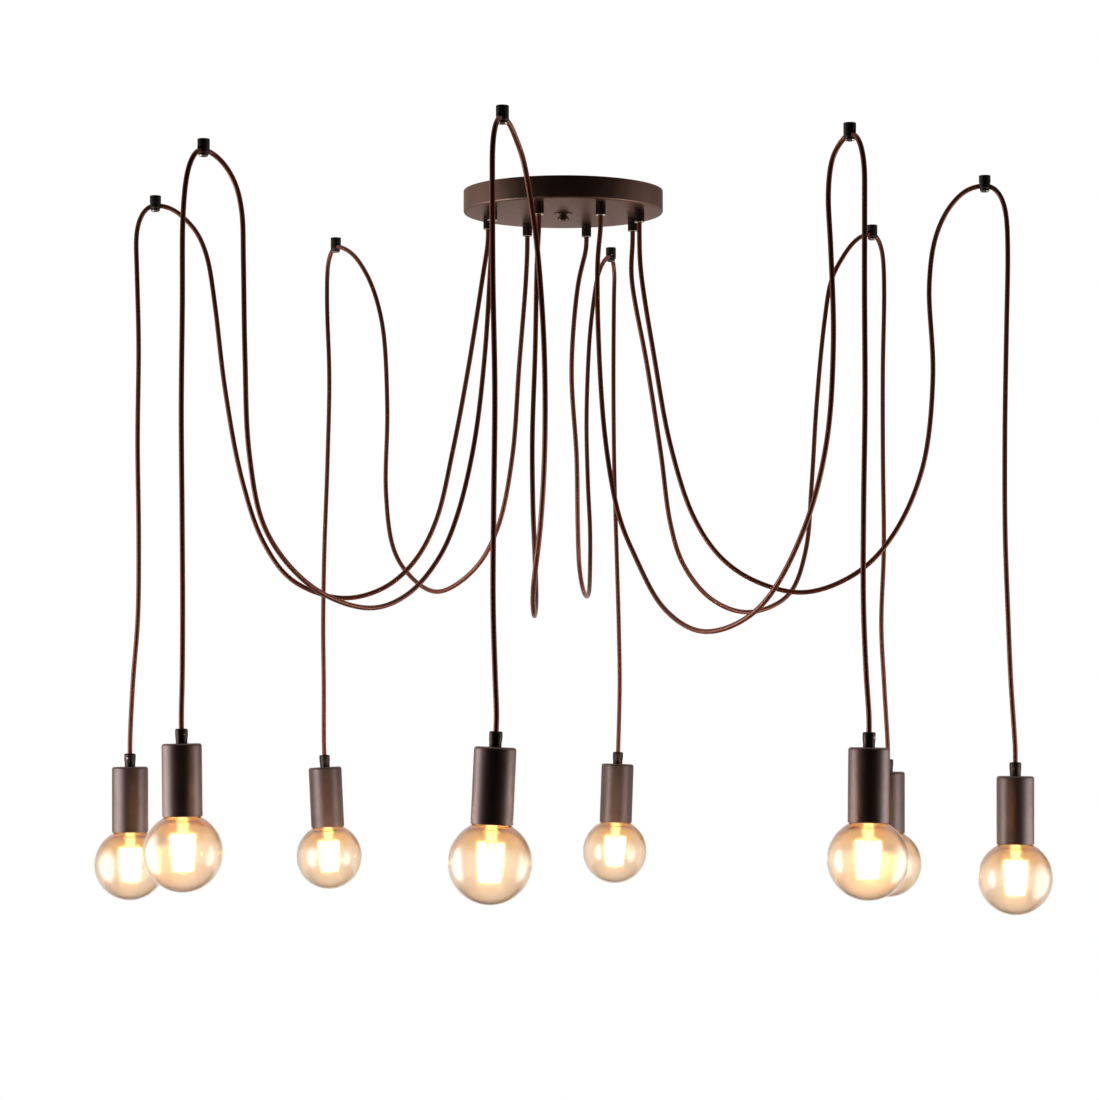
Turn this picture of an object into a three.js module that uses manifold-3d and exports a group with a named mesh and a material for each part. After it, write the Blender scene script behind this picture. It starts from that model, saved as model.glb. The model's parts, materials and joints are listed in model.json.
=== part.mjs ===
// Spider pendant light: a round ceiling canopy from which eight cords swag out to eight ceiling hooks,
// and hang from them with a lampholder, a metal cup and a globe bulb each.
// Millimetres, +Z up. The origin is the middle of the canopy on the ceiling, and everything hangs below it.
import * as THREE from "three";
import { mergeVertices } from "three/addons/utils/BufferGeometryUtils.js";
import Module from "manifold-3d";

const wasm = await Module();
wasm.setup();

// Fits
const clearance = 0.3; // gap between pieces that touch on the real light
const cutOverrun = 2; // how far a cutter runs past the face that it opens
const weldTolerance = 0.0005; // vertices closer than this are one vertex

// Cord
const cordRadius = 2.7;
const cordSides = 8;
const cordLead = 12; // straight length below a gland or above a lampholder
const swagStep = 36; // longest step along the cord from the canopy to the hook
const dropStep = 90; // longest step along the cord from the hook to the lamp
const cordTail = 6; // length that stands inside the canopy, above the gland

// Canopy: a spun steel dish, open towards the ceiling
const canopyRadius = 112;
const canopyDepth = 25;
const canopyWall = 1.2;
const canopyEdge = 2.5; // radius of the dish's lower edge
const canopySides = 48;

// Cord glands, in a ring through the floor of the dish
const glandInset = 23; // from the dish's edge to the middle of a gland
const glandFirstBearing = 27.3; // degrees from +X, counter-clockwise seen from above
const glandRadius = 5.5;
const glandLength = 14; // below the dish
const glandNutRadius = 7.5;
const glandNutHeight = 4;
const glandStemRadius = 4.8; // through the dish
const glandSides = 8;

// Mounting bar: a flat strip with two screw slots and a welded stud
const barThickness = 3;
const barWidth = 22;
const barEnd = 20; // from the middle of a slot to the end of the bar
const slotSpacing = 80;
const slotLength = 12;
const slotRadius = 2.5;
const studRadius = 3;
const studEngagement = 6; // how far the stud reaches into the finial
const studSides = 12;
const arcSides = 6; // steps in half a turn of a slot's or bar's round end

// Finial: the flanged cap nut that holds the canopy up
const finialFlangeRadius = 12;
const finialFlange = 1;
const finialRadius = 6.2;
const finialHeight = 9;
const finialDomeShare = 0.55;
const finialSides = 16;

// Terminal block, under the bar between the stud and one slot
const terminalLength = 24;
const terminalWidth = 18;
const terminalHeight = 13;
const terminalPoles = 3;
const terminalWireRadius = 1.8;
const terminalStudRoom = 4; // from the stud to the block

// Ceiling hooks: short cylinders with a cross bore for the cord
const hookRadius = 6;
const hookHeight = 18;
const hookBoreShare = 0.61; // how far down the bore's middle is
const hookChamfer = 0.8;
const hookScrewRadius = 2.1;
const hookScrewDepth = 4;
const hookSides = 12;
const archRise = 0.8; // how much higher the cord lies in the middle of the bore than at its mouths
const archFlat = 1.5; // length of cord that lies level at the middle, each side

// Ring of hooks and lamps
const hookRing = 470; // from the middle of the canopy to a hook
const lampReach = 27; // from a hook to the cord that hangs from it
const lampDrop = 727; // from the ceiling to the rim of a cup

// Globe bulb with a screw cap, set out upwards from the rim of the cup
const globeRadius = 40;
const glassWall = 1.5;
const capRadius = 13.1;
const capLength = 27;
const capTipRadius = 4.8;
const capShoulderShare = 0.75; // how much of the cap is its threaded shell
const neckFlare = 2.2; // how much wider the neck is at the lampholder's mouth than at the cap
const neckLength = 12.7; // from the lampholder's mouth to the cap
const shoulderRoom = 1; // round the globe's shoulder, where it comes out of the cup
const shoulderDrop = 0.4; // how far below the cup's rim the shoulder is
const exhaustRadius = 1.6; // the glassmaker's tube, left open through the cap
const globeLatitudes = [-67, -45, -22, 0, 22, 45]; // degrees, rings of points round the globe
const bulbSides = 12;

// Lampholder: phenolic body with the cord grip that stands out of the cup
const mouthInset = 3; // from the cup's rim up to the mouth of the lampholder
const neckRoom = 1.3; // around the bulb's neck
const threadRoom = 0.5; // around the bulb's cap
const skirtWall = 2;
const contactWall = 4; // from the contact up to where the body narrows
const shoulderStep = 6.6; // how much narrower the upper body is
const chamberHeight = 28.4; // from the contact to the top of the body
const gripRadius = 6;
const gripHeight = 15; // above the cup
const gripDepth = 9; // how far the cord goes into the grip
const lampSides = 12;

// Cup: the metal cover over the lampholder
const cupFit = 0.4; // between the lampholder and the cup, in radius
const cupWall = 1.2;
const cupTop = 1.5;
const cupEdge = 3; // radius of the cup's upper edge

// Sizes that follow from those above
const degree = Math.PI / 180;
const cordBore = cordRadius + clearance;
const canopyInside = canopyRadius - canopyWall;
const glandRing = canopyRadius - glandInset;
const glandTop = clearance + canopyWall + clearance + glandNutHeight; // above the underside of the dish
const glandFoot = -canopyDepth - clearance - glandLength;
const hookBoreDrop = hookHeight * hookBoreShare;
const cordTopZ = -hookBoreDrop + archRise / 2;
const cordMouthZ = -hookBoreDrop - archRise / 2;
const neckRadius = capRadius + neckFlare;
const capBase = mouthInset + neckLength;
const capTip = capBase + capLength;
const contactHeight = capTip + clearance;
const threadRadius = capRadius + threadRoom;
const mouthRadius = neckRadius + neckRoom;
const skirtRadius = mouthRadius + skirtWall;
const chamberRadius = skirtRadius - shoulderStep;
const chamberTop = contactHeight + chamberHeight;
const cupInside = skirtRadius + cupFit;
const shoulderRadius = cupInside - shoulderRoom;
const globeCentre = -shoulderDrop - Math.sqrt(globeRadius ** 2 - shoulderRadius ** 2);
const cupRadius = cupInside + cupWall;
const cupHeight = chamberTop + clearance + cupTop;
const gripTop = cupHeight + gripHeight;

// One row for each pendant, counter-clockwise round the canopy: the bearing of its hook and its distance as a
// share of the ring, the way that the hook's bore faces, how far along that the lamp hangs as a share of the
// reach, its height as a share of the drop, how far its foot leans towards +X, and its cord's hand-laid points.
const pendants = [
  {
    bearing: 34, ringShare: 0.955, facing: 45, reachShare: 0.89, dropShare: 1.0025, lean: -0.3,
    swag: [[77.5, 39.5, -90], [95.5, 52.5, -190], [111.5, 64, -290], [122.5, 72, -370], [137, 82.5, -415],
      [169.5, 105.5, -454], [215, 138.5, -469], [265.5, 175, -446.5], [286, 189.5, -395], [293.5, 195, -320],
      [300.5, 200, -220], [311, 207.5, -120], [320, 214, -70], [334, 223.5, -43], [344.5, 231.5, -27.5],
      [355, 238, -17], [362.5, 242.5, -13]],
    drop: [[380.5, 259.5, -15.5], [383.5, 263, -22.5], [386, 265.5, -32.5], [387.5, 267.5, -48], [388, 268, -85],
      [386, 268, -170], [385.5, 268, -280], [386, 268, -390], [382.5, 268, -480], [385.5, 268, -550]],
  },
  {
    bearing: 82, ringShare: 0.947, facing: 77, reachShare: 0.96, dropShare: 0.994, lean: -2,
    swag: [[18, 87, -90], [10, 99.5, -190], [16, 118, -290], [17.5, 144, -370], [19.5, 169, -415],
      [24, 207, -439], [29, 252, -446.5], [32.5, 296, -438], [34, 331, -411], [34.5, 359, -362],
      [32, 380, -300], [30.5, 388.5, -220], [34.5, 390.5, -120], [40, 395, -70], [44, 402.5, -44],
      [49, 411, -28], [54, 422, -18], [57.5, 429, -13.5]],
    drop: [[65, 453, -15.5], [66, 458.5, -22], [67, 462, -32.5], [66.5, 465, -48], [66, 466, -85],
      [65.5, 466, -170], [66.5, 466, -280], [69.5, 466, -390], [72, 466, -480], [73, 466, -550]],
  },
  {
    bearing: 128.1, ringShare: 0.962, facing: 112, reachShare: 0.89, dropShare: 0.9975, lean: 2.9,
    swag: [[-42.5, 81, -90], [-50.5, 90, -190], [-58, 99, -290], [-74.5, 118.5, -370], [-100.5, 148.5, -416],
      [-148, 203.5, -443], [-183, 244.5, -421], [-203, 267, -388], [-212.5, 278.5, -320], [-211, 277, -220],
      [-217, 284, -120], [-230, 299, -70], [-243.5, 314.5, -42], [-255.5, 328.5, -25], [-265.5, 338.5, -16.5],
      [-272.5, 344.5, -13]],
    drop: [[-285, 366.5, -15], [-288, 371, -21.5], [-290, 374.5, -32.5], [-291, 377, -48], [-291, 378, -85],
      [-288, 378, -170], [-290, 378, -280], [-293.5, 378, -390], [-294.5, 378, -480], [-293.5, 378, -550]],
  },
  {
    bearing: 176.3, ringShare: 0.985, facing: 180, reachShare: 0.89, dropShare: 0.989, lean: 0.5,
    swag: [[-90.5, 27, -90], [-106, 27, -190], [-124.5, 27.5, -290], [-143.5, 27.5, -370], [-167.5, 27.5, -415],
      [-202, 28, -445], [-249, 28.5, -456.5], [-305, 29, -436.5], [-338, 29, -393], [-363, 29.5, -320],
      [-382, 29.5, -220], [-394.5, 29.5, -120], [-403, 29.5, -70], [-414, 30, -43], [-428.5, 30, -26],
      [-440.5, 30, -16.5], [-449, 30, -12.5]],
    drop: [[-473.5, 30, -15.5], [-478, 30, -22.5], [-481.5, 30, -32.5], [-483.5, 30, -48], [-482.5, 30, -85],
      [-480, 30, -170], [-480.5, 30, -280], [-478.5, 30, -390], [-479, 30, -480], [-484, 30, -550]],
  },
  {
    bearing: -137.7, ringShare: 1.06, facing: -128, reachShare: 0.93, dropShare: 0.948, lean: 1,
    swag: [[-81, -43, -90], [-87, -49, -190], [-98.5, -60.5, -290], [-116.5, -79, -370], [-134.5, -97, -415],
      [-167, -130, -457], [-206.5, -170, -474], [-266, -231, -452], [-309, -274.5, -396], [-324.5, -290, -320],
      [-329, -295, -220], [-331, -296.5, -120], [-332.5, -298, -70], [-338, -304, -43],
      [-346, -312, -27], [-354.5, -320, -17], [-360.5, -325.5, -13]],
    drop: [[-376, -345, -15.5], [-379, -349, -22], [-382, -352, -32.5], [-384.5, -354, -48], [-387, -355, -85],
      [-387, -355, -170], [-387.5, -355, -280], [-386, -355, -390], [-385, -355, -480], [-385, -355, -550]],
  },
  {
    bearing: -96.7, ringShare: 1.109, facing: -110, reachShare: 1, dropShare: 0.95, lean: -2.6,
    swag: [[-29, -87, -90], [-31, -102.5, -190], [-34, -125.5, -290], [-33, -156.5, -370], [-31, -187.5, -415],
      [-29.5, -243, -468], [-31, -298, -486], [-32, -350, -463.5], [-24, -408, -395], [-20, -441, -320],
      [-21, -455, -220], [-28.5, -458, -120], [-36, -463, -70], [-41.5, -473, -43], [-48, -487, -27],
      [-52.5, -498.5, -17.5], [-55.5, -506.5, -13.5]],
    drop: [[-65.5, -530, -15.5], [-67.5, -535, -22], [-69, -539, -32.5], [-70, -542, -48], [-70, -543, -85],
      [-69.5, -543, -170], [-67.5, -543, -280], [-68.5, -543, -390], [-69, -543, -480], [-67, -543, -550]],
  },
  {
    bearing: -56.4, ringShare: 1.087, facing: -59, reachShare: 0.93, dropShare: 0.952, lean: -0.8,
    swag: [[37.5, -74.5, -90], [39, -76, -190], [46, -86.5, -290], [59.5, -106.5, -370], [76, -129, -415],
      [106, -172, -474], [146, -229, -500.5], [199.5, -305.5, -477.5], [240, -364, -402], [260.5, -393, -320],
      [267.5, -403, -220], [265.5, -400, -120], [263.5, -397, -70], [265, -399.5, -44], [268, -404, -29],
      [273, -411, -19.5], [277, -416.5, -14.5]],
    drop: [[289, -436, -15.5], [291.5, -440.5, -22], [293.5, -443.5, -32.5], [295, -446, -48], [295, -447, -85],
      [294.5, -447, -170], [294.5, -447, -280], [292.5, -447, -390], [292, -447, -480], [294.5, -447, -550]],
  },
  {
    bearing: -13.3, ringShare: 1.004, facing: -12, reachShare: 1.04, dropShare: 0.9995, lean: -0.4,
    swag: [[86, -27.5, -90], [101, -30.5, -190], [119, -34.5, -290], [144.5, -40, -370], [174.5, -46.5, -415],
      [212, -54.5, -441], [265, -66, -453.5], [321.5, -78.5, -432], [360, -86.5, -391], [391, -93.5, -320],
      [403, -96, -220], [399.5, -95.5, -120], [405.5, -96.5, -70], [416, -99, -42.5], [427, -101.5, -26.5],
      [438.5, -104, -16], [447, -106, -12.5]],
    drop: [[471.5, -111.5, -15.5], [476, -112.5, -22.5], [479.5, -113.5, -32.5], [482, -114, -48],
      [483, -114.5, -85], [481, -114.5, -170], [478.5, -114.5, -280], [478, -114.5, -390],
      [480.5, -114.5, -480], [483, -114.5, -550]],
  },
];

// Finishes
const darkMetal = { color: 0x4a3a36, roughness: 0.55, metalness: 0.5 };
const blackMetal = { color: 0x241d1b, roughness: 0.45, metalness: 0.6 };
const zincPlate = { color: 0xa8a9ab, roughness: 0.4, metalness: 0.9 };
const phenolic = { color: 0x1f1a18, roughness: 0.6, metalness: 0 };
const nylon = { color: 0xe8e4da, roughness: 0.7, metalness: 0 };
const cordJacket = { color: 0x3a1208, roughness: 0.4, metalness: 0 };
const amberGlass = { color: 0xe3b878, roughness: 0.05, metalness: 0, transparent: true, opacity: 0.45 };

function piece(name, geometry, finish) {
  const mesh = new THREE.Mesh(geometry, new THREE.MeshStandardMaterial(finish));
  mesh.name = name;
  return mesh;
}

// A solid of revolution about Z, from [radius, height] pairs that go up the outside.
function turned(profile, sides) {
  const points = profile.map(([radius, height]) => new THREE.Vector2(radius, height));
  return new THREE.LatheGeometry(points, sides).rotateX(Math.PI / 2);
}

// Radius of the circle round a bore's polygon, so that its flats clear the stated radius.
function boreCircle(radius, sides) {
  return radius / Math.cos(Math.PI / sides);
}

// A plain round cutter along Z between two heights.
function roundCutter(radius, low, high, sides) {
  return turned([[0, low], [radius, low], [radius, high], [0, high]], sides);
}

function toSolid(geometry) {
  const loose = geometry.index ? geometry.toNonIndexed() : geometry;
  const bare = new THREE.BufferGeometry().setAttribute("position", loose.getAttribute("position"));
  const welded = mergeVertices(bare, weldTolerance);
  const vertProperties = welded.getAttribute("position").array;
  const triVerts = new Uint32Array(welded.index.array);
  return new wasm.Manifold(new wasm.Mesh({ numProp: 3, vertProperties, triVerts }));
}

function fromSolid(solid) {
  const mesh = solid.getMesh();
  const geometry = new THREE.BufferGeometry();
  geometry.setAttribute("position", new THREE.BufferAttribute(mesh.vertProperties, mesh.numProp));
  geometry.setIndex(new THREE.BufferAttribute(mesh.triVerts, 1));
  geometry.computeVertexNormals();
  return geometry;
}

function cut(geometry, cutters) {
  return fromSolid(cutters.reduce((body, cutter) => body.subtract(toSolid(cutter)), toSolid(geometry)));
}

// A smooth curve through the cord's points, sampled at steps that no stretch exceeds, so that close-set points
// on a tight bend keep their short steps.
class CordCurve extends THREE.CatmullRomCurve3 {
  constructor(points, longestStep) {
    super(points);
    this.stations = [0];
    for (let i = 1; i < points.length; i += 1) {
      const count = Math.ceil(points[i].distanceTo(points[i - 1]) / longestStep);
      for (let j = 1; j <= count; j += 1) {
        this.stations.push((i - 1 + j / count) / (points.length - 1));
      }
    }
  }

  getUtoTmapping(u) {
    const last = this.stations.length - 1;
    const index = Math.min(Math.floor(u * last), last - 1);
    return THREE.MathUtils.lerp(this.stations[index], this.stations[index + 1], u * last - index);
  }
}

function cordTube(points, longestStep) {
  const corners = Array.from({ length: cordSides }, (_, i) => {
    const angle = (i * 2 * Math.PI) / cordSides;
    return new THREE.Vector2(cordRadius * Math.cos(angle), cordRadius * Math.sin(angle));
  });
  const extrudePath = new CordCurve(points, longestStep);
  const steps = extrudePath.stations.length - 1;
  return new THREE.ExtrudeGeometry(new THREE.Shape(corners), { steps, extrudePath, bevelEnabled: false });
}

// A level direction at a bearing in degrees.
function level(bearing) {
  return new THREE.Vector3(Math.cos(bearing * degree), Math.sin(bearing * degree), 0);
}

function glandBearing(index) {
  return glandFirstBearing + (360 / pendants.length) * index;
}

function canopyDish() {
  const slant = Math.SQRT1_2;
  const corner = (radius, share) => [
    canopyRadius - canopyEdge + radius * share,
    canopyEdge - canopyDepth - radius * Math.sqrt(1 - share * share),
  ];
  const edgeInside = canopyEdge - canopyWall;
  const dish = turned([
    [0, -canopyDepth],
    corner(canopyEdge, 0),
    corner(canopyEdge, slant),
    corner(canopyEdge, 1),
    [canopyRadius, 0],
    [canopyInside, 0],
    corner(edgeInside, 1),
    corner(edgeInside, 0),
    [0, canopyWall - canopyDepth],
  ], canopySides);
  const low = -canopyDepth - cutOverrun;
  const high = canopyWall - canopyDepth + cutOverrun;
  const stemHole = boreCircle(glandStemRadius + clearance, glandSides);
  const holes = pendants.map((_, index) => {
    const place = level(glandBearing(index)).multiplyScalar(glandRing);
    return roundCutter(stemHole, low, high, glandSides).translate(place.x, place.y, 0);
  });
  holes.push(roundCutter(boreCircle(studRadius + clearance, studSides), low, high, studSides));
  return piece("canopy_dish", cut(dish, holes), darkMetal);
}

// The outline of a strip along X with round ends, from the middle of the strip to those of its ends' arcs.
function stripOutline(middle, halfLength, radius) {
  return [1, -1].flatMap((side) => Array.from({ length: arcSides + 1 }, (_, i) => {
    const angle = (Math.PI * i) / arcSides - Math.PI / 2;
    const along = middle + side * (halfLength + radius * Math.cos(angle));
    return new THREE.Vector2(along, side * radius * Math.sin(angle));
  }));
}

function mountingBar() {
  const outline = new THREE.Shape(stripOutline(0, (slotSpacing - barWidth) / 2 + barEnd, barWidth / 2));
  for (const side of [-1, 1]) {
    const slot = stripOutline((side * slotSpacing) / 2, slotLength / 2 - slotRadius, slotRadius);
    outline.holes.push(new THREE.Path(slot));
  }
  const strip = new THREE.ExtrudeGeometry(outline, { depth: barThickness, bevelEnabled: false });
  strip.translate(0, 0, -barThickness);
  const studFoot = -canopyDepth - clearance - studEngagement;
  const stud = roundCutter(studRadius, studFoot, -barThickness / 2, studSides);
  return piece("mounting_bar", fromSolid(toSolid(strip).add(toSolid(stud))), zincPlate);
}

function finialNut() {
  const top = -canopyDepth - clearance;
  const bore = boreCircle(studRadius + clearance, finialSides);
  const boreEnd = top - studEngagement - clearance;
  const foot = top - finialHeight;
  const dome = finialRadius * finialDomeShare;
  return piece("finial_nut", turned([
    [0, foot],
    [dome, foot],
    [finialRadius, foot + finialRadius - dome],
    [finialRadius, top - finialFlange],
    [finialFlangeRadius, top - finialFlange],
    [finialFlangeRadius, top],
    [bore, top],
    [bore, boreEnd],
    [0, boreEnd],
  ], finialSides), blackMetal);
}

function terminalBlock() {
  const top = -barThickness - clearance;
  const block = new THREE.BoxGeometry(terminalLength, terminalWidth, terminalHeight);
  const pitch = terminalLength / terminalPoles;
  const bores = Array.from({ length: terminalPoles }, (_, i) => {
    const reach = terminalWidth / 2 + cutOverrun;
    const bore = roundCutter(terminalWireRadius, -reach, reach, glandSides).rotateX(Math.PI / 2);
    return bore.translate((i - (terminalPoles - 1) / 2) * pitch, 0, 0);
  });
  const mesh = piece("terminal_block", cut(block, bores), nylon);
  mesh.position.set(studRadius + terminalStudRoom + terminalLength / 2, 0, top - terminalHeight / 2);
  return mesh;
}

// Gland with its nut, set out from the underside of the dish.
function canopyGland(number) {
  const bore = boreCircle(cordBore, glandSides);
  const mesh = piece(`canopy_gland_${number}`, turned([
    [bore, -clearance - glandLength],
    [glandRadius, -clearance - glandLength],
    [glandRadius, -clearance],
    [glandStemRadius, -clearance],
    [glandStemRadius, canopyWall + clearance],
    [glandNutRadius, canopyWall + clearance],
    [glandNutRadius, glandTop],
    [bore, glandTop],
    [bore, -clearance - glandLength],
  ], glandSides), blackMetal);
  mesh.position.copy(level(glandBearing(number - 1)).multiplyScalar(glandRing));
  mesh.position.z = -canopyDepth;
  return mesh;
}

// Hook, set out from the ceiling, with its bore along X before it is turned.
function ceilingHook(number, row) {
  const body = turned([
    [0, -hookHeight],
    [hookRadius - hookChamfer, -hookHeight],
    [hookRadius, hookChamfer - hookHeight],
    [hookRadius, 0],
    [hookScrewRadius, 0],
    [hookScrewRadius, -hookScrewDepth],
    [0, -hookScrewDepth],
  ], hookSides);
  const reach = hookRadius + cutOverrun;
  const boreRadius = boreCircle(cordBore + archRise / 2, hookSides);
  const bore = roundCutter(boreRadius, -reach, reach, hookSides).rotateY(Math.PI / 2);
  bore.translate(0, 0, -hookBoreDrop);
  const mesh = piece(`ceiling_hook_${number}`, cut(body, [bore]), blackMetal);
  mesh.position.copy(hookPlace(row));
  mesh.rotation.z = row.facing * degree;
  return mesh;
}

function hookPlace(row) {
  return level(row.bearing).multiplyScalar(hookRing * row.ringShare);
}

// A point of the cord at a distance along the hook's bore from the hook's axis.
function alongBore(row, distance, height) {
  const point = hookPlace(row).addScaledVector(level(row.facing), distance);
  return point.setZ(height);
}

// From inside the canopy, down through the gland and over to the middle of the hook's bore.
function swagCord(number, row) {
  const gland = level(glandBearing(number - 1)).multiplyScalar(glandRing);
  const points = [
    gland.clone().setZ(glandTop - canopyDepth + cordTail),
    gland.clone().setZ(glandFoot),
    gland.clone().setZ(glandFoot - cordLead),
    ...row.swag.map((point) => new THREE.Vector3(...point)),
    alongBore(row, -hookRadius, cordMouthZ),
    alongBore(row, -archFlat, cordTopZ),
    alongBore(row, -clearance / 2, cordTopZ),
  ];
  return piece(`swag_cord_${number}`, cordTube(points, swagStep), cordJacket);
}

// From the middle of the hook's bore, out and down into the grip of the lampholder.
function dropCord(number, row, lamp) {
  const inLamp = (height) => new THREE.Vector3(0, 0, height).applyMatrix4(lamp.matrix);
  const points = [
    alongBore(row, clearance / 2, cordTopZ),
    alongBore(row, archFlat, cordTopZ),
    alongBore(row, hookRadius, cordMouthZ),
    ...row.drop.map((point) => new THREE.Vector3(...point)),
    inLamp(gripTop + cordLead),
    inLamp(gripTop),
    inLamp(gripTop - gripDepth + clearance),
  ];
  return piece(`drop_cord_${number}`, cordTube(points, dropStep), cordJacket);
}

// Lampholder body and cord grip, set out from the rim of the cup.
function lampholder(number) {
  const grip = boreCircle(cordBore, lampSides);
  const thread = boreCircle(threadRadius, lampSides);
  return piece(`lampholder_${number}`, turned([
    [0, contactHeight],
    [thread, contactHeight],
    [thread, capBase],
    [boreCircle(mouthRadius, lampSides), mouthInset],
    [skirtRadius, mouthInset],
    [skirtRadius, contactHeight + contactWall],
    [chamberRadius, contactHeight + contactWall + shoulderStep],
    [chamberRadius, chamberTop],
    [gripRadius, chamberTop],
    [gripRadius, gripTop],
    [grip, gripTop],
    [grip, gripTop - gripDepth],
    [0, gripTop - gripDepth],
  ], lampSides), phenolic);
}

// Cup, set out from its own rim.
function lampCup(number) {
  const hole = gripRadius + clearance;
  const bevel = cupEdge * (1 - Math.SQRT1_2);
  return piece(`lamp_cup_${number}`, turned([
    [cupInside, 0],
    [cupRadius, 0],
    [cupRadius, cupHeight - cupEdge],
    [cupRadius - bevel, cupHeight - bevel],
    [cupRadius - cupEdge, cupHeight],
    [hole, cupHeight],
    [hole, cupHeight - cupTop],
    [cupInside, cupHeight - cupTop],
    [cupInside, 0],
  ], lampSides), darkMetal);
}

// Bulb: blown glass with its cap, hollow and open through the exhaust tube.
function globeBulb(number) {
  const insideRadius = globeRadius - glassWall;
  const capShoulder = capBase + capLength * capShoulderShare;
  const rings = (radius) => globeLatitudes.map((latitude) => [
    radius * Math.cos(latitude * degree),
    globeCentre + radius * Math.sin(latitude * degree),
  ]);
  return piece(`bulb_${number}`, turned([
    [0, globeCentre - globeRadius],
    ...rings(globeRadius),
    [shoulderRadius, -shoulderDrop],
    [neckRadius, mouthInset],
    [capRadius, capBase],
    [capRadius, capShoulder],
    [capTipRadius, capTip],
    [exhaustRadius, capTip],
    [exhaustRadius, capBase],
    [capRadius - glassWall, capBase - glassWall],
    [neckRadius - glassWall, mouthInset - glassWall],
    [shoulderRadius - glassWall, -shoulderDrop - glassWall],
    ...rings(insideRadius).reverse(),
    [0, globeCentre - insideRadius],
  ], bulbSides), amberGlass);
}

// A lamp's own frame, at the middle of its cup's rim.
function lampFrame(row) {
  const frame = new THREE.Group();
  frame.position.copy(alongBore(row, lampReach * row.reachShare, -lampDrop * row.dropShare));
  frame.rotation.y = -row.lean * degree;
  frame.updateMatrix();
  return frame;
}

function pendant(row, index) {
  const number = index + 1;
  const lamp = lampFrame(row);
  lamp.add(lampholder(number), lampCup(number), globeBulb(number));
  const group = new THREE.Group();
  group.add(canopyGland(number), ceilingHook(number, row));
  group.add(swagCord(number, row), dropCord(number, row, lamp), lamp);
  return group;
}

const light = new THREE.Group();
light.add(canopyDish(), mountingBar(), finialNut(), terminalBlock());
light.add(...pendants.map(pendant));

export default light;
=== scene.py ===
"""A spider pendant light, dressed around its fixed frame.

A round canopy, eight cords that swag out to ceiling hooks, and a lit globe bulb in a metal cup on each cord.
Sizes are in metres, +Z up, and the origin is the middle of the canopy on the ceiling. The hooks and lamps
stand where the frame's joints are and the glands where the frame's glands are. The rest is set out from them.
"""

from __future__ import annotations

import json
import logging
import math
from dataclasses import dataclass, field
from enum import Enum
from typing import Any, Iterable, Sequence, Union

import bmesh
import bpy
from bmesh.types import BMesh
from bpy.types import Light, Material, Mesh, Node, NodeSocket, NodeTree, Object
from mathutils import Matrix, Vector

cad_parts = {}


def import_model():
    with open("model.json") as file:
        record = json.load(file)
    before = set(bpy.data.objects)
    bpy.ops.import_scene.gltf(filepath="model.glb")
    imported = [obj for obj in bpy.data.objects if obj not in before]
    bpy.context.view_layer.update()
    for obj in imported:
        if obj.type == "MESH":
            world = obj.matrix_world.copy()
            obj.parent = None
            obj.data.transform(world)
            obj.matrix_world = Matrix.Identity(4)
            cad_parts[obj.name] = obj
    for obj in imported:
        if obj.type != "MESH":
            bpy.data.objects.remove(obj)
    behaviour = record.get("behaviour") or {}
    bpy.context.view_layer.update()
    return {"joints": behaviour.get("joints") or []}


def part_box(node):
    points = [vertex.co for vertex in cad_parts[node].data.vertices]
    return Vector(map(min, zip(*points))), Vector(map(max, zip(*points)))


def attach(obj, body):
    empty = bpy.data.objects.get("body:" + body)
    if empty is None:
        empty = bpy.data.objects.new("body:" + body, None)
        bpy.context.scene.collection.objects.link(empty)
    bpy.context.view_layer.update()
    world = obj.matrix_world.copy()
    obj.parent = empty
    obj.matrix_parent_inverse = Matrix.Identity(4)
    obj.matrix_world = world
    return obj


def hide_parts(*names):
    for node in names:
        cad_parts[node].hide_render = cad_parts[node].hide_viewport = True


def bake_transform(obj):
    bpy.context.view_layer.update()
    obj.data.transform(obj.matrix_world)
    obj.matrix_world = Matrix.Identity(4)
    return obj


LOG = logging.getLogger("pendant_light")
TOUCH = 1e-6  # points nearer than this are one point
SHARP = math.radians(32)  # edges sharper than this keep their crease
SQUARE = math.radians(90)
TURN = 2 * math.pi
WAVE = TURN / 20  # length of a wave texture's wave at scale 1
BULB_PITCH = 0.0036  # of the bulbs' threads

Point = tuple[float, float, float]
Pair = tuple[float, float]
Color = tuple[float, float, float, float]
Corner = tuple[float, ...]  # radius, height and, if the corner is rounded, its fillet
Inputs = dict[Union[str, int], Any]
WHITE: Color = (1.0, 1.0, 1.0, 1.0)


class Slot(Enum):
    """Material slots of the record, named with the pieces."""

    BRONZE = "bronze_coat"
    BLACK = "black_bronze"
    ZINC = "zinc_plate"
    NYLON = "white_nylon"
    PHENOLIC = "phenolic"
    JACKET = "cord_jacket"
    GLASS = "amber_glass"


class Lines(Enum):
    """Which way a metal's tool marks run, in the wave texture's words."""

    NONE = "none"
    LEVEL = "BANDS"
    RINGS = "RINGS"


@dataclass(frozen=True)
class Route:
    """Points of one cord, worked out from the photo, before and after its ceiling hook."""

    swag: tuple[Point, ...]
    drop: tuple[Point, ...]


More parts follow.
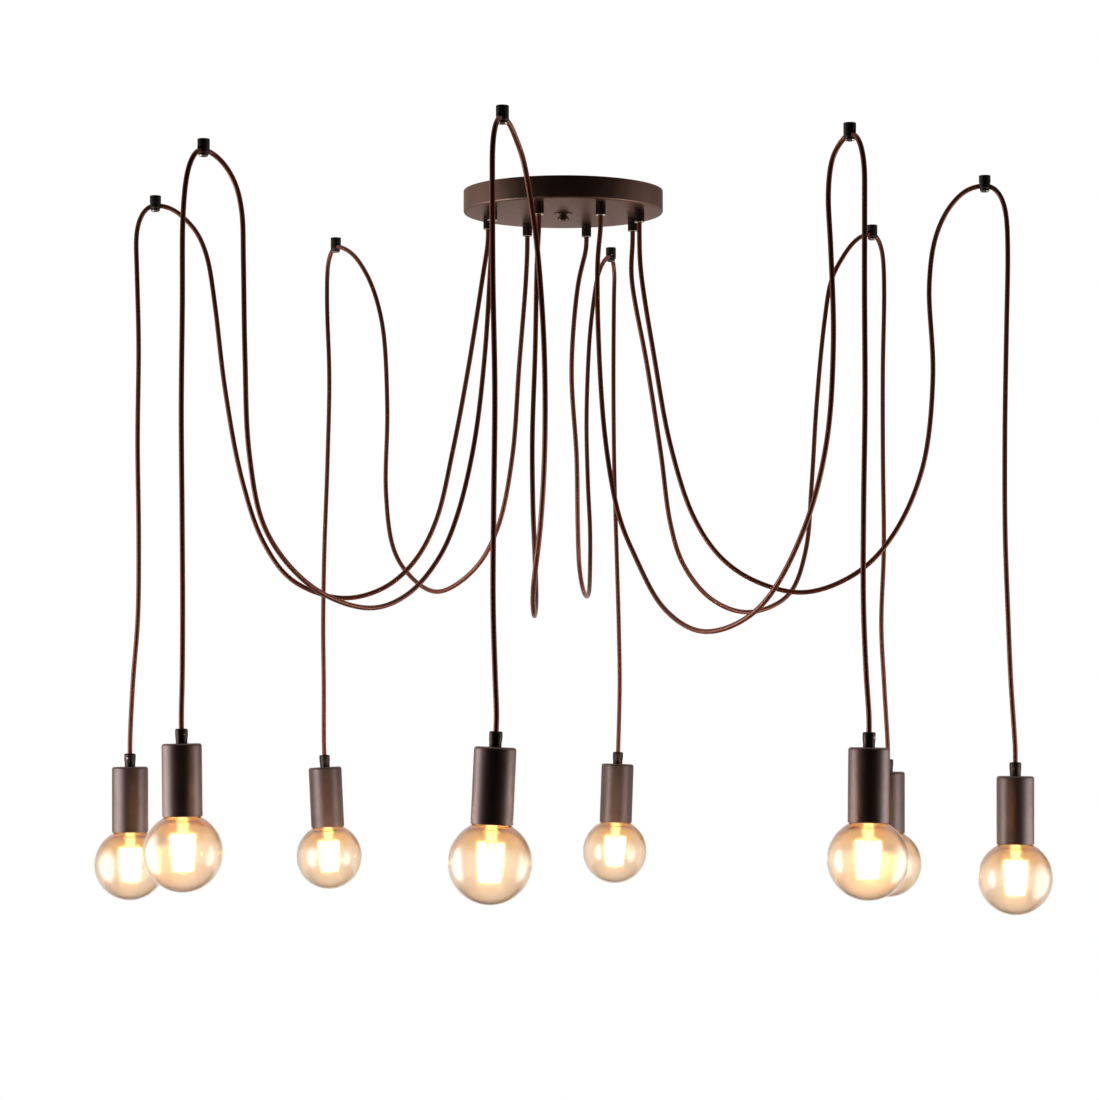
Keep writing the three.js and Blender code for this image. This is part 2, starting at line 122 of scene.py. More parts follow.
# The cords' points, counter-clockwise round the canopy as the pendants are numbered.
ROUTES = (
    Route(
        swag=(
            (0.0775, 0.0395, -0.09), (0.0955, 0.0525, -0.19), (0.1115, 0.064, -0.29),
            (0.1225, 0.072, -0.37), (0.137, 0.0825, -0.415), (0.1695, 0.1055, -0.454),
            (0.215, 0.1385, -0.469), (0.2655, 0.175, -0.4465), (0.286, 0.1895, -0.395),
            (0.2935, 0.195, -0.32), (0.3005, 0.2, -0.22), (0.311, 0.2075, -0.12),
            (0.32, 0.214, -0.07), (0.334, 0.2235, -0.043), (0.3445, 0.2315, -0.0275),
            (0.355, 0.238, -0.017), (0.3625, 0.2425, -0.013),
        ),
        drop=(
            (0.3805, 0.2595, -0.0155), (0.3835, 0.263, -0.0225), (0.386, 0.2655, -0.0325),
            (0.3875, 0.2675, -0.048), (0.388, 0.268, -0.085), (0.386, 0.268, -0.17),
            (0.3855, 0.268, -0.28), (0.386, 0.268, -0.39), (0.3825, 0.268, -0.48),
            (0.3855, 0.268, -0.55),
        ),
    ),
    Route(
        swag=(
            (0.018, 0.087, -0.09), (0.01, 0.0995, -0.19), (0.016, 0.118, -0.29),
            (0.0175, 0.144, -0.37), (0.0195, 0.169, -0.415), (0.024, 0.207, -0.439),
            (0.029, 0.252, -0.4465), (0.0325, 0.296, -0.438), (0.034, 0.331, -0.411),
            (0.0345, 0.359, -0.362), (0.032, 0.38, -0.3), (0.0305, 0.3885, -0.22),
            (0.0345, 0.3905, -0.12), (0.04, 0.395, -0.07), (0.044, 0.4025, -0.044),
            (0.049, 0.411, -0.028), (0.054, 0.422, -0.018), (0.0575, 0.429, -0.0135),
        ),
        drop=(
            (0.065, 0.453, -0.0155), (0.066, 0.4585, -0.022), (0.067, 0.462, -0.0325),
            (0.0665, 0.465, -0.048), (0.066, 0.466, -0.085), (0.0655, 0.466, -0.17),
            (0.0665, 0.466, -0.28), (0.0695, 0.466, -0.39), (0.072, 0.466, -0.48),
            (0.073, 0.466, -0.55),
        ),
    ),
    Route(
        swag=(
            (-0.0425, 0.081, -0.09), (-0.0505, 0.09, -0.19), (-0.058, 0.099, -0.29),
            (-0.0745, 0.1185, -0.37), (-0.1005, 0.1485, -0.416), (-0.148, 0.2035, -0.443),
            (-0.183, 0.2445, -0.421), (-0.203, 0.267, -0.388), (-0.2125, 0.2785, -0.32),
            (-0.211, 0.277, -0.22), (-0.217, 0.284, -0.12), (-0.23, 0.299, -0.07),
            (-0.2435, 0.3145, -0.042), (-0.2555, 0.3285, -0.025), (-0.2655, 0.3385, -0.0165),
            (-0.2725, 0.3445, -0.013),
        ),
        drop=(
            (-0.285, 0.3665, -0.015), (-0.288, 0.371, -0.0215), (-0.29, 0.3745, -0.0325),
            (-0.291, 0.377, -0.048), (-0.291, 0.378, -0.085), (-0.288, 0.378, -0.17),
            (-0.29, 0.378, -0.28), (-0.2935, 0.378, -0.39), (-0.2945, 0.378, -0.48),
            (-0.2935, 0.378, -0.55),
        ),
    ),
    Route(
        swag=(
            (-0.0905, 0.027, -0.09), (-0.106, 0.027, -0.19), (-0.1245, 0.0275, -0.29),
            (-0.1435, 0.0275, -0.37), (-0.1675, 0.0275, -0.415), (-0.202, 0.028, -0.445),
            (-0.249, 0.0285, -0.4565), (-0.305, 0.029, -0.4365), (-0.338, 0.029, -0.393),
            (-0.363, 0.0295, -0.32), (-0.382, 0.0295, -0.22), (-0.3945, 0.0295, -0.12),
            (-0.403, 0.0295, -0.07), (-0.414, 0.03, -0.043), (-0.4285, 0.03, -0.026),
            (-0.4405, 0.03, -0.0165), (-0.449, 0.03, -0.0125),
        ),
        drop=(
            (-0.4735, 0.03, -0.0155), (-0.478, 0.03, -0.0225), (-0.4815, 0.03, -0.0325),
            (-0.4835, 0.03, -0.048), (-0.4825, 0.03, -0.085), (-0.48, 0.03, -0.17),
            (-0.4805, 0.03, -0.28), (-0.4785, 0.03, -0.39), (-0.479, 0.03, -0.48),
            (-0.484, 0.03, -0.55),
        ),
    ),
    Route(
        swag=(
            (-0.081, -0.043, -0.09), (-0.087, -0.049, -0.19), (-0.0985, -0.0605, -0.29),
            (-0.1165, -0.079, -0.37), (-0.1345, -0.097, -0.415), (-0.167, -0.13, -0.457),
            (-0.2065, -0.17, -0.474), (-0.266, -0.231, -0.452), (-0.309, -0.2745, -0.396),
            (-0.3245, -0.29, -0.32), (-0.329, -0.295, -0.22), (-0.331, -0.2965, -0.12),
            (-0.3325, -0.298, -0.07), (-0.338, -0.304, -0.043), (-0.346, -0.312, -0.027),
            (-0.3545, -0.32, -0.017), (-0.3605, -0.3255, -0.013),
        ),
        drop=(
            (-0.376, -0.345, -0.0155), (-0.379, -0.349, -0.022), (-0.382, -0.352, -0.0325),
            (-0.3845, -0.354, -0.048), (-0.387, -0.355, -0.085), (-0.387, -0.355, -0.17),
            (-0.3875, -0.355, -0.28), (-0.386, -0.355, -0.39), (-0.385, -0.355, -0.48),
            (-0.385, -0.355, -0.55),
        ),
    ),
    Route(
        swag=(
            (-0.029, -0.087, -0.09), (-0.031, -0.1025, -0.19), (-0.034, -0.1255, -0.29),
            (-0.033, -0.1565, -0.37), (-0.031, -0.1875, -0.415), (-0.0295, -0.243, -0.468),
            (-0.031, -0.298, -0.486), (-0.032, -0.35, -0.4635), (-0.024, -0.408, -0.395),
            (-0.02, -0.441, -0.32), (-0.021, -0.455, -0.22), (-0.0285, -0.458, -0.12),
            (-0.036, -0.463, -0.07), (-0.0415, -0.473, -0.043), (-0.048, -0.487, -0.027),
            (-0.0525, -0.4985, -0.0175), (-0.0555, -0.5065, -0.0135),
        ),
        drop=(
            (-0.0655, -0.53, -0.0155), (-0.0675, -0.535, -0.022), (-0.069, -0.539, -0.0325),
            (-0.07, -0.542, -0.048), (-0.07, -0.543, -0.085), (-0.0695, -0.543, -0.17),
            (-0.0675, -0.543, -0.28), (-0.0685, -0.543, -0.39), (-0.069, -0.543, -0.48),
            (-0.067, -0.543, -0.55),
        ),
    ),
    Route(
        swag=(
            (0.0375, -0.0745, -0.09), (0.039, -0.076, -0.19), (0.046, -0.0865, -0.29),
            (0.0595, -0.1065, -0.37), (0.076, -0.129, -0.415), (0.106, -0.172, -0.474),
            (0.146, -0.229, -0.5005), (0.1995, -0.3055, -0.4775), (0.24, -0.364, -0.402),
            (0.2605, -0.393, -0.32), (0.2675, -0.403, -0.22), (0.2655, -0.4, -0.12),
            (0.2635, -0.397, -0.07), (0.265, -0.3995, -0.044), (0.268, -0.404, -0.029),
            (0.273, -0.411, -0.0195), (0.277, -0.4165, -0.0145),
        ),
        drop=(
            (0.289, -0.436, -0.0155), (0.2915, -0.4405, -0.022), (0.2935, -0.4435, -0.0325),
            (0.295, -0.446, -0.048), (0.295, -0.447, -0.085), (0.2945, -0.447, -0.17),
            (0.2945, -0.447, -0.28), (0.2925, -0.447, -0.39), (0.292, -0.447, -0.48),
            (0.2945, -0.447, -0.55),
        ),
    ),
    Route(
        swag=(
            (0.086, -0.0275, -0.09), (0.101, -0.0305, -0.19), (0.119, -0.0345, -0.29),
            (0.1445, -0.04, -0.37), (0.1745, -0.0465, -0.415), (0.212, -0.0545, -0.441),
            (0.265, -0.066, -0.4535), (0.3215, -0.0785, -0.432), (0.36, -0.0865, -0.391),
            (0.391, -0.0935, -0.32), (0.403, -0.096, -0.22), (0.3995, -0.0955, -0.12),
            (0.4055, -0.0965, -0.07), (0.416, -0.099, -0.0425), (0.427, -0.1015, -0.0265),
            (0.4385, -0.104, -0.016), (0.447, -0.106, -0.0125),
        ),
        drop=(
            (0.4715, -0.1115, -0.0155), (0.476, -0.1125, -0.0225), (0.4795, -0.1135, -0.0325),
            (0.482, -0.114, -0.048), (0.483, -0.1145, -0.085), (0.481, -0.1145, -0.17),
            (0.4785, -0.1145, -0.28), (0.478, -0.1145, -0.39), (0.4805, -0.1145, -0.48),
            (0.483, -0.1145, -0.55),
        ),
    ),
)


class Nodes:
    """A node tree in the making, with short ways to its commonest nodes."""

    def __init__(self, tree: NodeTree) -> None:
        """Takes over a tree and empties it."""
        self.tree = tree
        tree.nodes.clear()

    def node(self, kind: str, inputs: Inputs | None = None, **settings: Any) -> Node:
        """Adds a node, and sets or links its inputs.

        Args:
            kind: The node's type name.
            inputs: Values or output sockets, by the name or number of the input.
            settings: Options of the node itself.

        Returns:
            The new node.
        """
        made = self.tree.nodes.new(kind)
        for name, value in settings.items():
            setattr(made, name, value)
        for name, value in (inputs or {}).items():
            if isinstance(value, NodeSocket):
                self.tree.links.new(value, made.inputs[name])
            else:
                made.inputs[name].default_value = value
        return made

    def add(self, kind: str, inputs: Inputs | None = None, **settings: Any) -> NodeSocket:
        """Adds a node and returns its first output."""
        return self.node(kind, inputs, **settings).outputs[0]

    def place(self) -> NodeSocket:
        """Where on its piece the surface is."""
        return self.node("ShaderNodeTexCoord").outputs["Object"]

    def work(self, operation: str, first: Any, second: Any) -> NodeSocket:
        """Works out one number from two."""
        return self.add("ShaderNodeMath", {0: first, 1: second}, operation=operation)

    def ramp(self, value: NodeSocket, reach: Pair, to: Pair = (0.0, 1.0), smooth: bool = False) -> NodeSocket:
        """Maps a value onto a range and holds it there.

        Args:
            value: The value.
            reach: Where it starts and ends.
            to: What it has become at these.
            smooth: Whether it starts and ends gently.

        Returns:
            The mapped value.
        """
        (start, end), (low, high) = reach, to
        inputs = {"Value": value, "From Min": start, "From Max": end, "To Min": low, "To Max": high}
        curve = "SMOOTHSTEP" if smooth else "LINEAR"
        return self.add("ShaderNodeMapRange", inputs, interpolation_type=curve)

    def mix(self, share: NodeSocket, first: Any, second: Any) -> NodeSocket:
        """Mixes two numbers."""
        return self.add("ShaderNodeMix", {0: share, 2: first, 3: second})

    def dye(self, share: NodeSocket, first: Color, second: Color) -> NodeSocket:
        """Mixes two colours."""
        return self.node("ShaderNodeMix", {0: share, 6: first, 7: second}, data_type="RGBA").outputs[2]

    def either(self, share: NodeSocket, first: NodeSocket, second: NodeSocket) -> NodeSocket:
        """Mixes two shaders."""
        return self.add("ShaderNodeMixShader", {0: share, 1: first, 2: second})

    def length(self, vector: NodeSocket) -> NodeSocket:
        """Measures a vector."""
        return self.node("ShaderNodeVectorMath", {0: vector}, operation="LENGTH").outputs["Value"]

    def noise(self, place: NodeSocket, size: float, detail: float = 3.0) -> NodeSocket:
        """Adds a noise pattern whose blobs are about size across."""
        return self.add("ShaderNodeTexNoise", {"Vector": place, "Scale": 1 / size, "Detail": detail})

    def spread(self, value: NodeSocket, low: float, high: float) -> NodeSocket:
        """Spreads the middle of a noise value over a range."""
        return self.ramp(value, (0.3, 0.7), (low, high))

    def toned(self, color: Color, tone: NodeSocket) -> NodeSocket:
        """Makes a colour lighter or darker by a tone."""
        return self.add("ShaderNodeVectorMath", {0: color[:3], "Scale": tone}, operation="SCALE")

    def bump(self, height: NodeSocket, relief: float, normal: NodeSocket | None = None) -> NodeSocket:
        """Raises the surface by a pattern.

        Args:
            height: The pattern.
            relief: How high it stands.
            normal: The normal without it, if not the mesh's own.

        Returns:
            The normal with it.
        """
        inputs: Inputs = {"Height": height, "Distance": relief}
        if normal is not None:
            inputs["Normal"] = normal
        return self.add("ShaderNodeBump", inputs)

    def surface(self, inputs: Inputs) -> NodeSocket:
        """Adds the surface shader."""
        return self.add("ShaderNodeBsdfPrincipled", inputs)


class Finish:
    """A surface finish that makes its material when it is first asked for."""

    name: str
    lights: bool = True  # whether it may light what is round it

    def shade(self, nodes: Nodes) -> NodeSocket:
        """Builds the surface in a material's nodes, and returns its shader."""
        raise NotImplementedError

    def fill(self, nodes: Nodes) -> NodeSocket | None:
        """Builds what is inside the surface, if anything is, and returns its shader."""
        return None

    def material(self) -> Material:
        """Makes the finish's material, or finds the one that was made.

        Returns:
            The material.
        """
        made = bpy.data.materials.get(self.name)
        if made is not None:
            return made
        made = bpy.data.materials.new(self.name)
        made.use_nodes = True
        nodes = Nodes(made.node_tree)
        shaders: Inputs = {"Surface": self.shade(nodes)}
        inside = self.fill(nodes)
        if inside is not None:
            shaders["Volume"] = inside
        nodes.node("ShaderNodeOutputMaterial", shaders)
        if not self.lights:
            made.cycles.emission_sampling = "NONE"
        return made


@dataclass(frozen=True)
class Metal(Finish):
    """A metal surface, bare, plated or coated, with patches, grain and tool marks."""

    name: str
    color: Color
    roughness: float
    edge: Color = WHITE  # tint at grazing angles
    metallic: float = 1.0
    mottle: float = 0.08  # how far the colour strays from patch to patch
    patch: float = 0.02
    unevenness: float = 0.1  # how far the roughness strays
    grain: float = 0.0007
    relief: float = 0.000012
    coat: float = 0.0  # of clear lacquer
    lacquer: float = 0.8  # its roughness, as a share of the metal's
    lines: Lines = Lines.NONE
    pitch: float = 0.0011
    line_relief: float = 0.000008

    def shade(self, nodes: Nodes) -> NodeSocket:
        """Builds the metal.

        Args:
            nodes: The material's nodes.

        Returns:
            The shader.
        """
        place = nodes.place()
        tone = nodes.spread(nodes.noise(place, self.patch), 1 - self.mottle, 1 + self.mottle)
        low, high = (self.roughness * (1 + side * self.unevenness) for side in (-1, 1))
        normal = nodes.bump(nodes.noise(place, self.grain, 2.0), self.relief)
        if self.lines is not Lines.NONE:
            normal = nodes.bump(self.marks(nodes, place), self.line_relief, normal)
        return nodes.surface(
            {
                "Base Color": nodes.toned(self.color, tone),
                "Metallic": self.metallic,
                "Roughness": nodes.spread(nodes.noise(place, self.patch / 3), low, high),
                "Specular Tint": self.edge,
                "Coat Weight": self.coat,
                "Coat Roughness": self.roughness * self.lacquer,
                "Normal": normal,
            }
        )

    def marks(self, nodes: Nodes, place: NodeSocket) -> NodeSocket:
        """Draws the tool marks.

        Args:
            nodes: The material's nodes.
            place: Where on the piece the surface is.

        Returns:
            The marks' height.
        """
        inputs = {"Vector": place, "Scale": WAVE / self.pitch, "Distortion": 1.5, "Detail": 2.0}
        settings = {"wave_type": self.lines.value, "rings_direction": "Z", "bands_direction": "Z"}
        return nodes.node("ShaderNodeTexWave", inputs, **settings).outputs["Fac"]


@dataclass(frozen=True)
class Moulded(Finish):
    """A moulded plastic or enamel, with a faint skin texture."""

    name: str
    color: Color
    roughness: float
    mottle: float = 0.08
    grain: float = 0.0005
    patch: float = 0.01
    relief: float = 0.00001

    def shade(self, nodes: Nodes) -> NodeSocket:
        """Builds the plastic.

        Args:
            nodes: The material's nodes.

        Returns:
            The shader.
        """
        place = nodes.place()
        tone = nodes.spread(nodes.noise(place, self.patch), 1 - self.mottle, 1 + self.mottle)
        normal = nodes.bump(nodes.noise(place, self.grain), self.relief)
        color = nodes.toned(self.color, tone)
        return nodes.surface({"Base Color": color, "Roughness": self.roughness, "Normal": normal})


@dataclass(frozen=True)
class Jacket(Finish):
    """The cord's silky jacket, with drawn streaks along its length."""

    name: str = "cord jacket"
    dark: Color = (0.16, 0.036, 0.019, 1.0)
    light: Color = (0.29, 0.092, 0.052, 1.0)
    edge: Color = (0.66, 0.5, 0.44, 1.0)  # tint at grazing angles
    sheen: float = 0.35  # how far its shine takes the jacket's own colour
    roughness: float = 0.26
    unevenness: Pair = (0.85, 1.2)  # shares of the roughness
    shine: float = 0.75
    streak_length: float = 0.12
    streak_width: float = 0.005
    relief: float = 0.000006

    def shade(self, nodes: Nodes) -> NodeSocket:
        """Builds the jacket on the cord's own map of length and girth.

        Args:
            nodes: The material's nodes.

        Returns:
            The shader.
        """
        along = nodes.node("ShaderNodeUVMap").outputs["UV"]
        scale = (1 / self.streak_length, 1 / self.streak_width, 1.0)
        streaks = nodes.noise(nodes.add("ShaderNodeMapping", {"Vector": along, "Scale": scale}), 1.0)
        low, high = (self.roughness * share for share in self.unevenness)
        return nodes.surface(
            {
                "Base Color": nodes.dye(nodes.spread(streaks, 0.0, 1.0), self.dark, self.light),
                "Metallic": self.sheen,
                "Roughness": nodes.spread(streaks, low, high),
                "Specular IOR Level": self.shine,
                "Specular Tint": self.edge,
                "Normal": nodes.bump(streaks, self.relief),
            }
        )


@dataclass(frozen=True)
class Glass(Finish):
    """Blown glass, tinted on its surface and through its wall."""

    lights = False  # its own glow is too weak
    name: str
    tint: Color = WHITE
    body: Color | None = None  # what the wall lets through
    density: float = 0.0
    roughness: float = 0.0
    coat: float = 0.0  # of a thin metal oxide, which mirrors more than glass
    glow: float = 0.0  # painted glow: emission that stands in for the filaments' light led through it
    ripple: float = 0.012
    relief: float = 0.00008

    def shade(self, nodes: Nodes) -> NodeSocket:
        """Builds the glass, which lets light straight through to what it lights.

        Args:
            nodes: The material's nodes.

        Returns:
            The shader.
        """
        glass = nodes.surface(
            {
                "Base Color": self.tint,
                "Roughness": self.roughness,
                "IOR": 1.5,
                "Transmission Weight": 1.0,
                "Coat Weight": self.coat,
                "Coat IOR": 1.75,
                "Coat Roughness": 0.04,
                # the painted glow, where the glass has one
                "Emission Color": self.tint,
                "Emission Strength": self.glow,
                "Normal": nodes.bump(nodes.noise(nodes.place(), self.ripple, 1.0), self.relief),
            }
        )
        path = nodes.node("ShaderNodeLightPath").outputs
        lighting = nodes.work("MAXIMUM", path["Is Shadow Ray"], path["Is Diffuse Ray"])
        return nodes.either(lighting, glass, nodes.add("ShaderNodeBsdfTransparent", {"Color": self.tint}))

    def fill(self, nodes: Nodes) -> NodeSocket | None:
        """Builds the glass itself, which takes colour with its depth.

        Args:
            nodes: The material's nodes.

        Returns:
            The shader of its inside, if it is coloured.
        """
        if self.body is None:
            return None
        return nodes.add("ShaderNodeVolumeAbsorption", {"Color": self.body, "Density": self.density})


@dataclass(frozen=True)
class Glow(Finish):
    """A lit phosphor coat."""

    name: str
    color: Color
    strength: float
    grain: float = 0.0004
    mottle: float = 0.1
    roughness: float = 0.6

    def shade(self, nodes: Nodes) -> NodeSocket:
        """Builds the lit coat.

        Args:
            nodes: The material's nodes.

        Returns:
            The shader.
        """
        tone = nodes.spread(nodes.noise(nodes.place(), self.grain), 1 - self.mottle, 1 + self.mottle)
        return nodes.surface(
            {
                "Base Color": nodes.toned(self.color, tone),
                "Roughness": self.roughness,
                "Emission Color": self.color,
                "Emission Strength": self.strength,
            }
        )


# The canopy and the cups share one bronze coat, and these two tones are lit and shaded copies of it. The
# canopy's is lighter, as painted light for its dimly lit underside. The cup's is darker, as painted shade
# that tames the soft boxes' highlights.
CANOPY_PAINTED_LIGHT_TONE: Color = (0.2, 0.126, 0.103, 1.0)
CUP_PAINTED_SHADE_TONE: Color = (0.155, 0.11, 0.103, 1.0)
BRONZE_EDGE: Color = (0.44, 0.32, 0.29, 1.0)
DARK_EDGE: Color = (0.18, 0.17, 0.16, 1.0)
SPUN_BRONZE = Metal("spun bronze", CANOPY_PAINTED_LIGHT_TONE, 0.4, BRONZE_EDGE, 0.94, coat=0.3, lines=Lines.RINGS)
CUP_BRONZE = Metal("cup bronze", CUP_PAINTED_SHADE_TONE, 0.46, BRONZE_EDGE, 0.9, coat=0.6, lines=Lines.LEVEL)
BLACK_BRONZE = Metal("black bronze", (0.07, 0.066, 0.063, 1.0), 0.45, DARK_EDGE, 0.9, grain=0.0004)
COLLAR_BRONZE = Metal("collar bronze", (0.065, 0.05, 0.046, 1.0), 0.4, DARK_EDGE, 0.9, grain=0.0004)
NICKEL = Metal("nickel", (0.5, 0.46, 0.42, 1.0), 0.22, mottle=0.04)
DARK_NICKEL = Metal("dark nickel", (0.24, 0.2, 0.17, 1.0), 0.24, BRONZE_EDGE, mottle=0.06)
ZINC = Metal("zinc plate", (0.55, 0.56, 0.58, 1.0), 0.34, mottle=0.16, patch=0.004)
BRASS = Metal("brass", (0.72, 0.5, 0.22, 1.0), 0.25)
PHENOLIC = Moulded("phenolic", (0.018, 0.012, 0.01, 1.0), 0.42)
NYLON = Moulded("nylon", (0.78, 0.76, 0.7, 1.0), 0.55)
COPPER = Metal("copper strand", (0.8, 0.36, 0.2, 1.0), 0.3, grain=0.0003)
BROWN_CORE = Moulded("brown core", (0.12, 0.045, 0.02, 1.0), 0.4)
BLUE_CORE = Moulded("blue core", (0.03, 0.09, 0.32, 1.0), 0.4)
JACKET = Jacket()
AMBER_GLASS = Glass("amber glass", (0.985, 0.94, 0.945, 1.0), (0.93, 0.64, 0.08, 1.0), 260.0, 0.18, coat=1.0)
# The stem's glow is painted light: emission that stands in for the filaments' light scattered in its glass.
STEM_GLASS = Glass("stem glass", (1.0, 0.9, 0.68, 1.0), roughness=0.12, glow=0.85)
FILAMENT = Glow("lit filament", (1.0, 0.74, 0.38, 1.0), 30.0)


def shifted(x: float = 0.0, y: float = 0.0, z: float = 0.0) -> Matrix:
    """A place beside the origin."""
    return Matrix.Translation((x, y, z))


def arc(centre: Vector, radius: float, start: float, end: float, steps: int) -> list[Vector]:
    """Draws an arc in a plane.

    Args:
        centre: Its middle.
        radius: Its radius.
        start: The angle at which it starts, in radians.
        end: The angle at which it ends.
        steps: Steps along it.

    Returns:
        The points of the arc.
    """
    angles = [start + (end - start) * step / steps for step in range(steps + 1)]
    return [centre + radius * Vector((math.cos(a), math.sin(a))) for a in angles]


def rounded(corners: Sequence[Corner], steps: int = 6) -> list[Vector]:
    """Outlines a section through corners that are rounded by their own fillets.

    Args:
        corners: Radius, height and fillet of each corner, in order. A sharp corner has no fillet, and nor
            have the ends of an open outline.
        steps: Steps in each rounded corner.

    Returns:
        The points of the outline.
    """
    outline: list[Vector] = []
    for index, (radius, height, *fillets) in enumerate(corners):
        here = Vector((radius, height))
        if not fillets or fillets[0] <= 0:
            outline.append(here)
            continue
        fillet = fillets[0]
        before = (Vector(corners[index - 1][:2]) - here).normalized()
        after = (Vector(corners[(index + 1) % len(corners)][:2]) - here).normalized()
        half = before.angle(after) / 2
        centre = here + (before + after).normalized() * (fillet / math.sin(half))
        start = here + before * (fillet / math.tan(half)) - centre
        end = here + after * (fillet / math.tan(half)) - centre
        first = math.atan2(start.y, start.x)
        sweep = math.remainder(math.atan2(end.y, end.x) - first, TURN)
        outline.extend(arc(centre, fillet, first, first + sweep, steps))
    return outline


def turned(outline: Iterable[Vector], sides: int, closed: bool = False) -> BMesh:
    """Turns an outline about Z.

    Args:
        outline: Points of radius and height. An open outline starts and ends on the axis.
        sides: Steps round the axis.
        closed: Whether the last point joins the first, as round a bore.

    Returns:
        The solid.
    """
    shape = bmesh.new()
    rings = []
    for radius, height in outline:
        count = sides if radius > TOUCH else 1
        angles = [TURN * i / sides for i in range(count)]
        rings.append([shape.verts.new((radius * math.cos(a), radius * math.sin(a), height)) for a in angles])
    following = rings[1:] + rings[:1] if closed else rings[1:]
    for low, high in zip(rings, following):
        for i in range(sides):
            j = (i + 1) % sides
            corners = [low[i % len(low)], low[j % len(low)], high[j % len(high)], high[i % len(high)]]
            corners = list(dict.fromkeys(corners))
            if len(corners) > 2:
                shape.faces.new(corners)
    bmesh.ops.recalc_face_normals(shape, faces=shape.faces[:])
    return shape


def lathe(corners: Sequence[Corner], sides: int, closed: bool = False, steps: int = 6) -> BMesh:
    """Turns a section with rounded corners about Z."""
    return turned(rounded(corners, steps), sides, closed)


def pin(radius: float, low: float, high: float, sides: int, edges: Pair = (0.0, 0.0)) -> BMesh:
    """Turns a plain pin, with its lower and upper edges rounded by fillets."""
    return lathe([(0.0, low), (radius, low, edges[0]), (radius, high, edges[1]), (0.0, high)], sides)


def sleeve(radii: Pair, low: float, high: float, sides: int, edge: float = 0.0, steps: int = 6) -> BMesh:
    """Turns a plain sleeve between its bore and outer radius, with its outer edges rounded."""
    bore, radius = radii
    return lathe([(bore, low), (radius, low, edge), (radius, high, edge), (bore, high)], sides, True, steps)


def swept(path: Sequence[Vector], radius: float, sides: int) -> BMesh:
    """Sweeps a round section along a path, with flat ends and a map of length and girth.

    Args:
        path: The middle line, in close steps.
        radius: Radius of the section.
        sides: Sides of the section.

    Returns:
        The tube.
    """
    shape = bmesh.new()
    layer = shape.loops.layers.uv.new("UVMap")
    last = len(path) - 1
    tangents = [(path[min(i + 1, last)] - path[max(i - 1, 0)]).normalized() for i in range(last + 1)]
    side = tangents[0].orthogonal().normalized()
    angles = [TURN * i / sides for i in range(sides)]
    rings, lengths = [], [0.0]
    for index, (point, tangent) in enumerate(zip(path, tangents)):
        if index:
            side = (tangents[index - 1].rotation_difference(tangent) @ side).normalized()
            lengths.append(lengths[-1] + (point - path[index - 1]).length)
        other = tangent.cross(side)
        ring = [point + radius * (math.cos(a) * side + math.sin(a) * other) for a in angles]
        rings.append([shape.verts.new(place) for place in ring])
    girth = TURN * radius / sides
    for k, (near, far) in enumerate(zip(rings, rings[1:])):
        for i in range(sides):
            j = (i + 1) % sides
            face = shape.faces.new((near[i], near[j], far[j], far[i]))
            for loop, (station, step) in zip(face.loops, ((k, i), (k, i + 1), (k + 1, i + 1), (k + 1, i))):
                loop[layer].uv = (lengths[station], girth * step)
    shape.faces.new(rings[0][::-1])
    shape.faces.new(rings[-1])
    bmesh.ops.recalc_face_normals(shape, faces=shape.faces[:])
    return shape


def block(low: Sequence[float], high: Sequence[float], bevel: float) -> BMesh:
    """Makes a block with its edges rounded off.

    Args:
        low: Its lowest corner.
        high: Its highest corner.
        bevel: How far the edges are rounded.

    Returns:
        The block.
    """
    shape = bmesh.new()
    bmesh.ops.create_cube(shape, size=1.0)
    low, high = Vector(low), Vector(high)
    for vertex in shape.verts:
        vertex.co = (low + high) / 2 + vertex.co * (high - low)
    bmesh.ops.bevel(shape, geom=shape.edges[:], offset=bevel, segments=3, profile=0.5, affect="EDGES")
    return shape


def slit(length: float, width: float, low: float, high: float, bevel: float = 0.0001) -> BMesh:
    """Makes the cutter of a slit along X for a screwdriver."""
    return block((-length / 2, -width / 2, low), (length / 2, width / 2, high), bevel)


def strip(middle: float, half: float, radius: float, low: float, high: float) -> BMesh:
    """Makes a flat strip along X with round ends.

    Args:
        middle: Where its middle is along X.
        half: Half the distance between the middles of its ends.
        radius: Radius of its ends.
        low: Height of its underside.
        high: Height of its top.

    Returns:
        The strip.
    """
    shape = bmesh.new()
    outline: list[Pair] = []
    for side in (1, -1):
        for angle in (math.pi * step / 16 - SQUARE for step in range(17)):
            x, y = half + radius * math.cos(angle), radius * math.sin(angle)
            outline.append((middle + side * x, side * y))
    bottom, top = ([shape.verts.new((x, y, z)) for x, y in outline] for z in (low, high))
    shape.faces.new(bottom[::-1])
    shape.faces.new(top)
    for i in range(len(outline)):
        j = (i + 1) % len(outline)
        shape.faces.new((bottom[i], bottom[j], top[j], top[i]))
    bmesh.ops.recalc_face_normals(shape, faces=shape.faces[:])
    return shape


def to_mesh(shape: BMesh | Mesh, place: Matrix | None = None) -> Mesh:
    """Turns a shape in the making into a mesh, and puts it in its place.

    Args:
        shape: The shape, which is used up, or a mesh, which is kept.
        place: Where it goes, if not where it is.

    Returns:
        The mesh.
    """
    mesh = shape
    if isinstance(shape, BMesh):
        mesh = bpy.data.meshes.new("shape")
        shape.to_mesh(mesh)
        shape.free()
    if place is not None:
        mesh.transform(place)
    return mesh


def carrier_of(name: str, mesh: Mesh) -> Object:
    """Puts a mesh into the scene as an object at the origin.

    Args:
        name: The object's name, and from now on the mesh's.
        mesh: The mesh.

    Returns:
        The object.
    """
    mesh.name = name
    carrier = bpy.data.objects.new(name, mesh)
    bpy.context.scene.collection.objects.link(carrier)
    return carrier


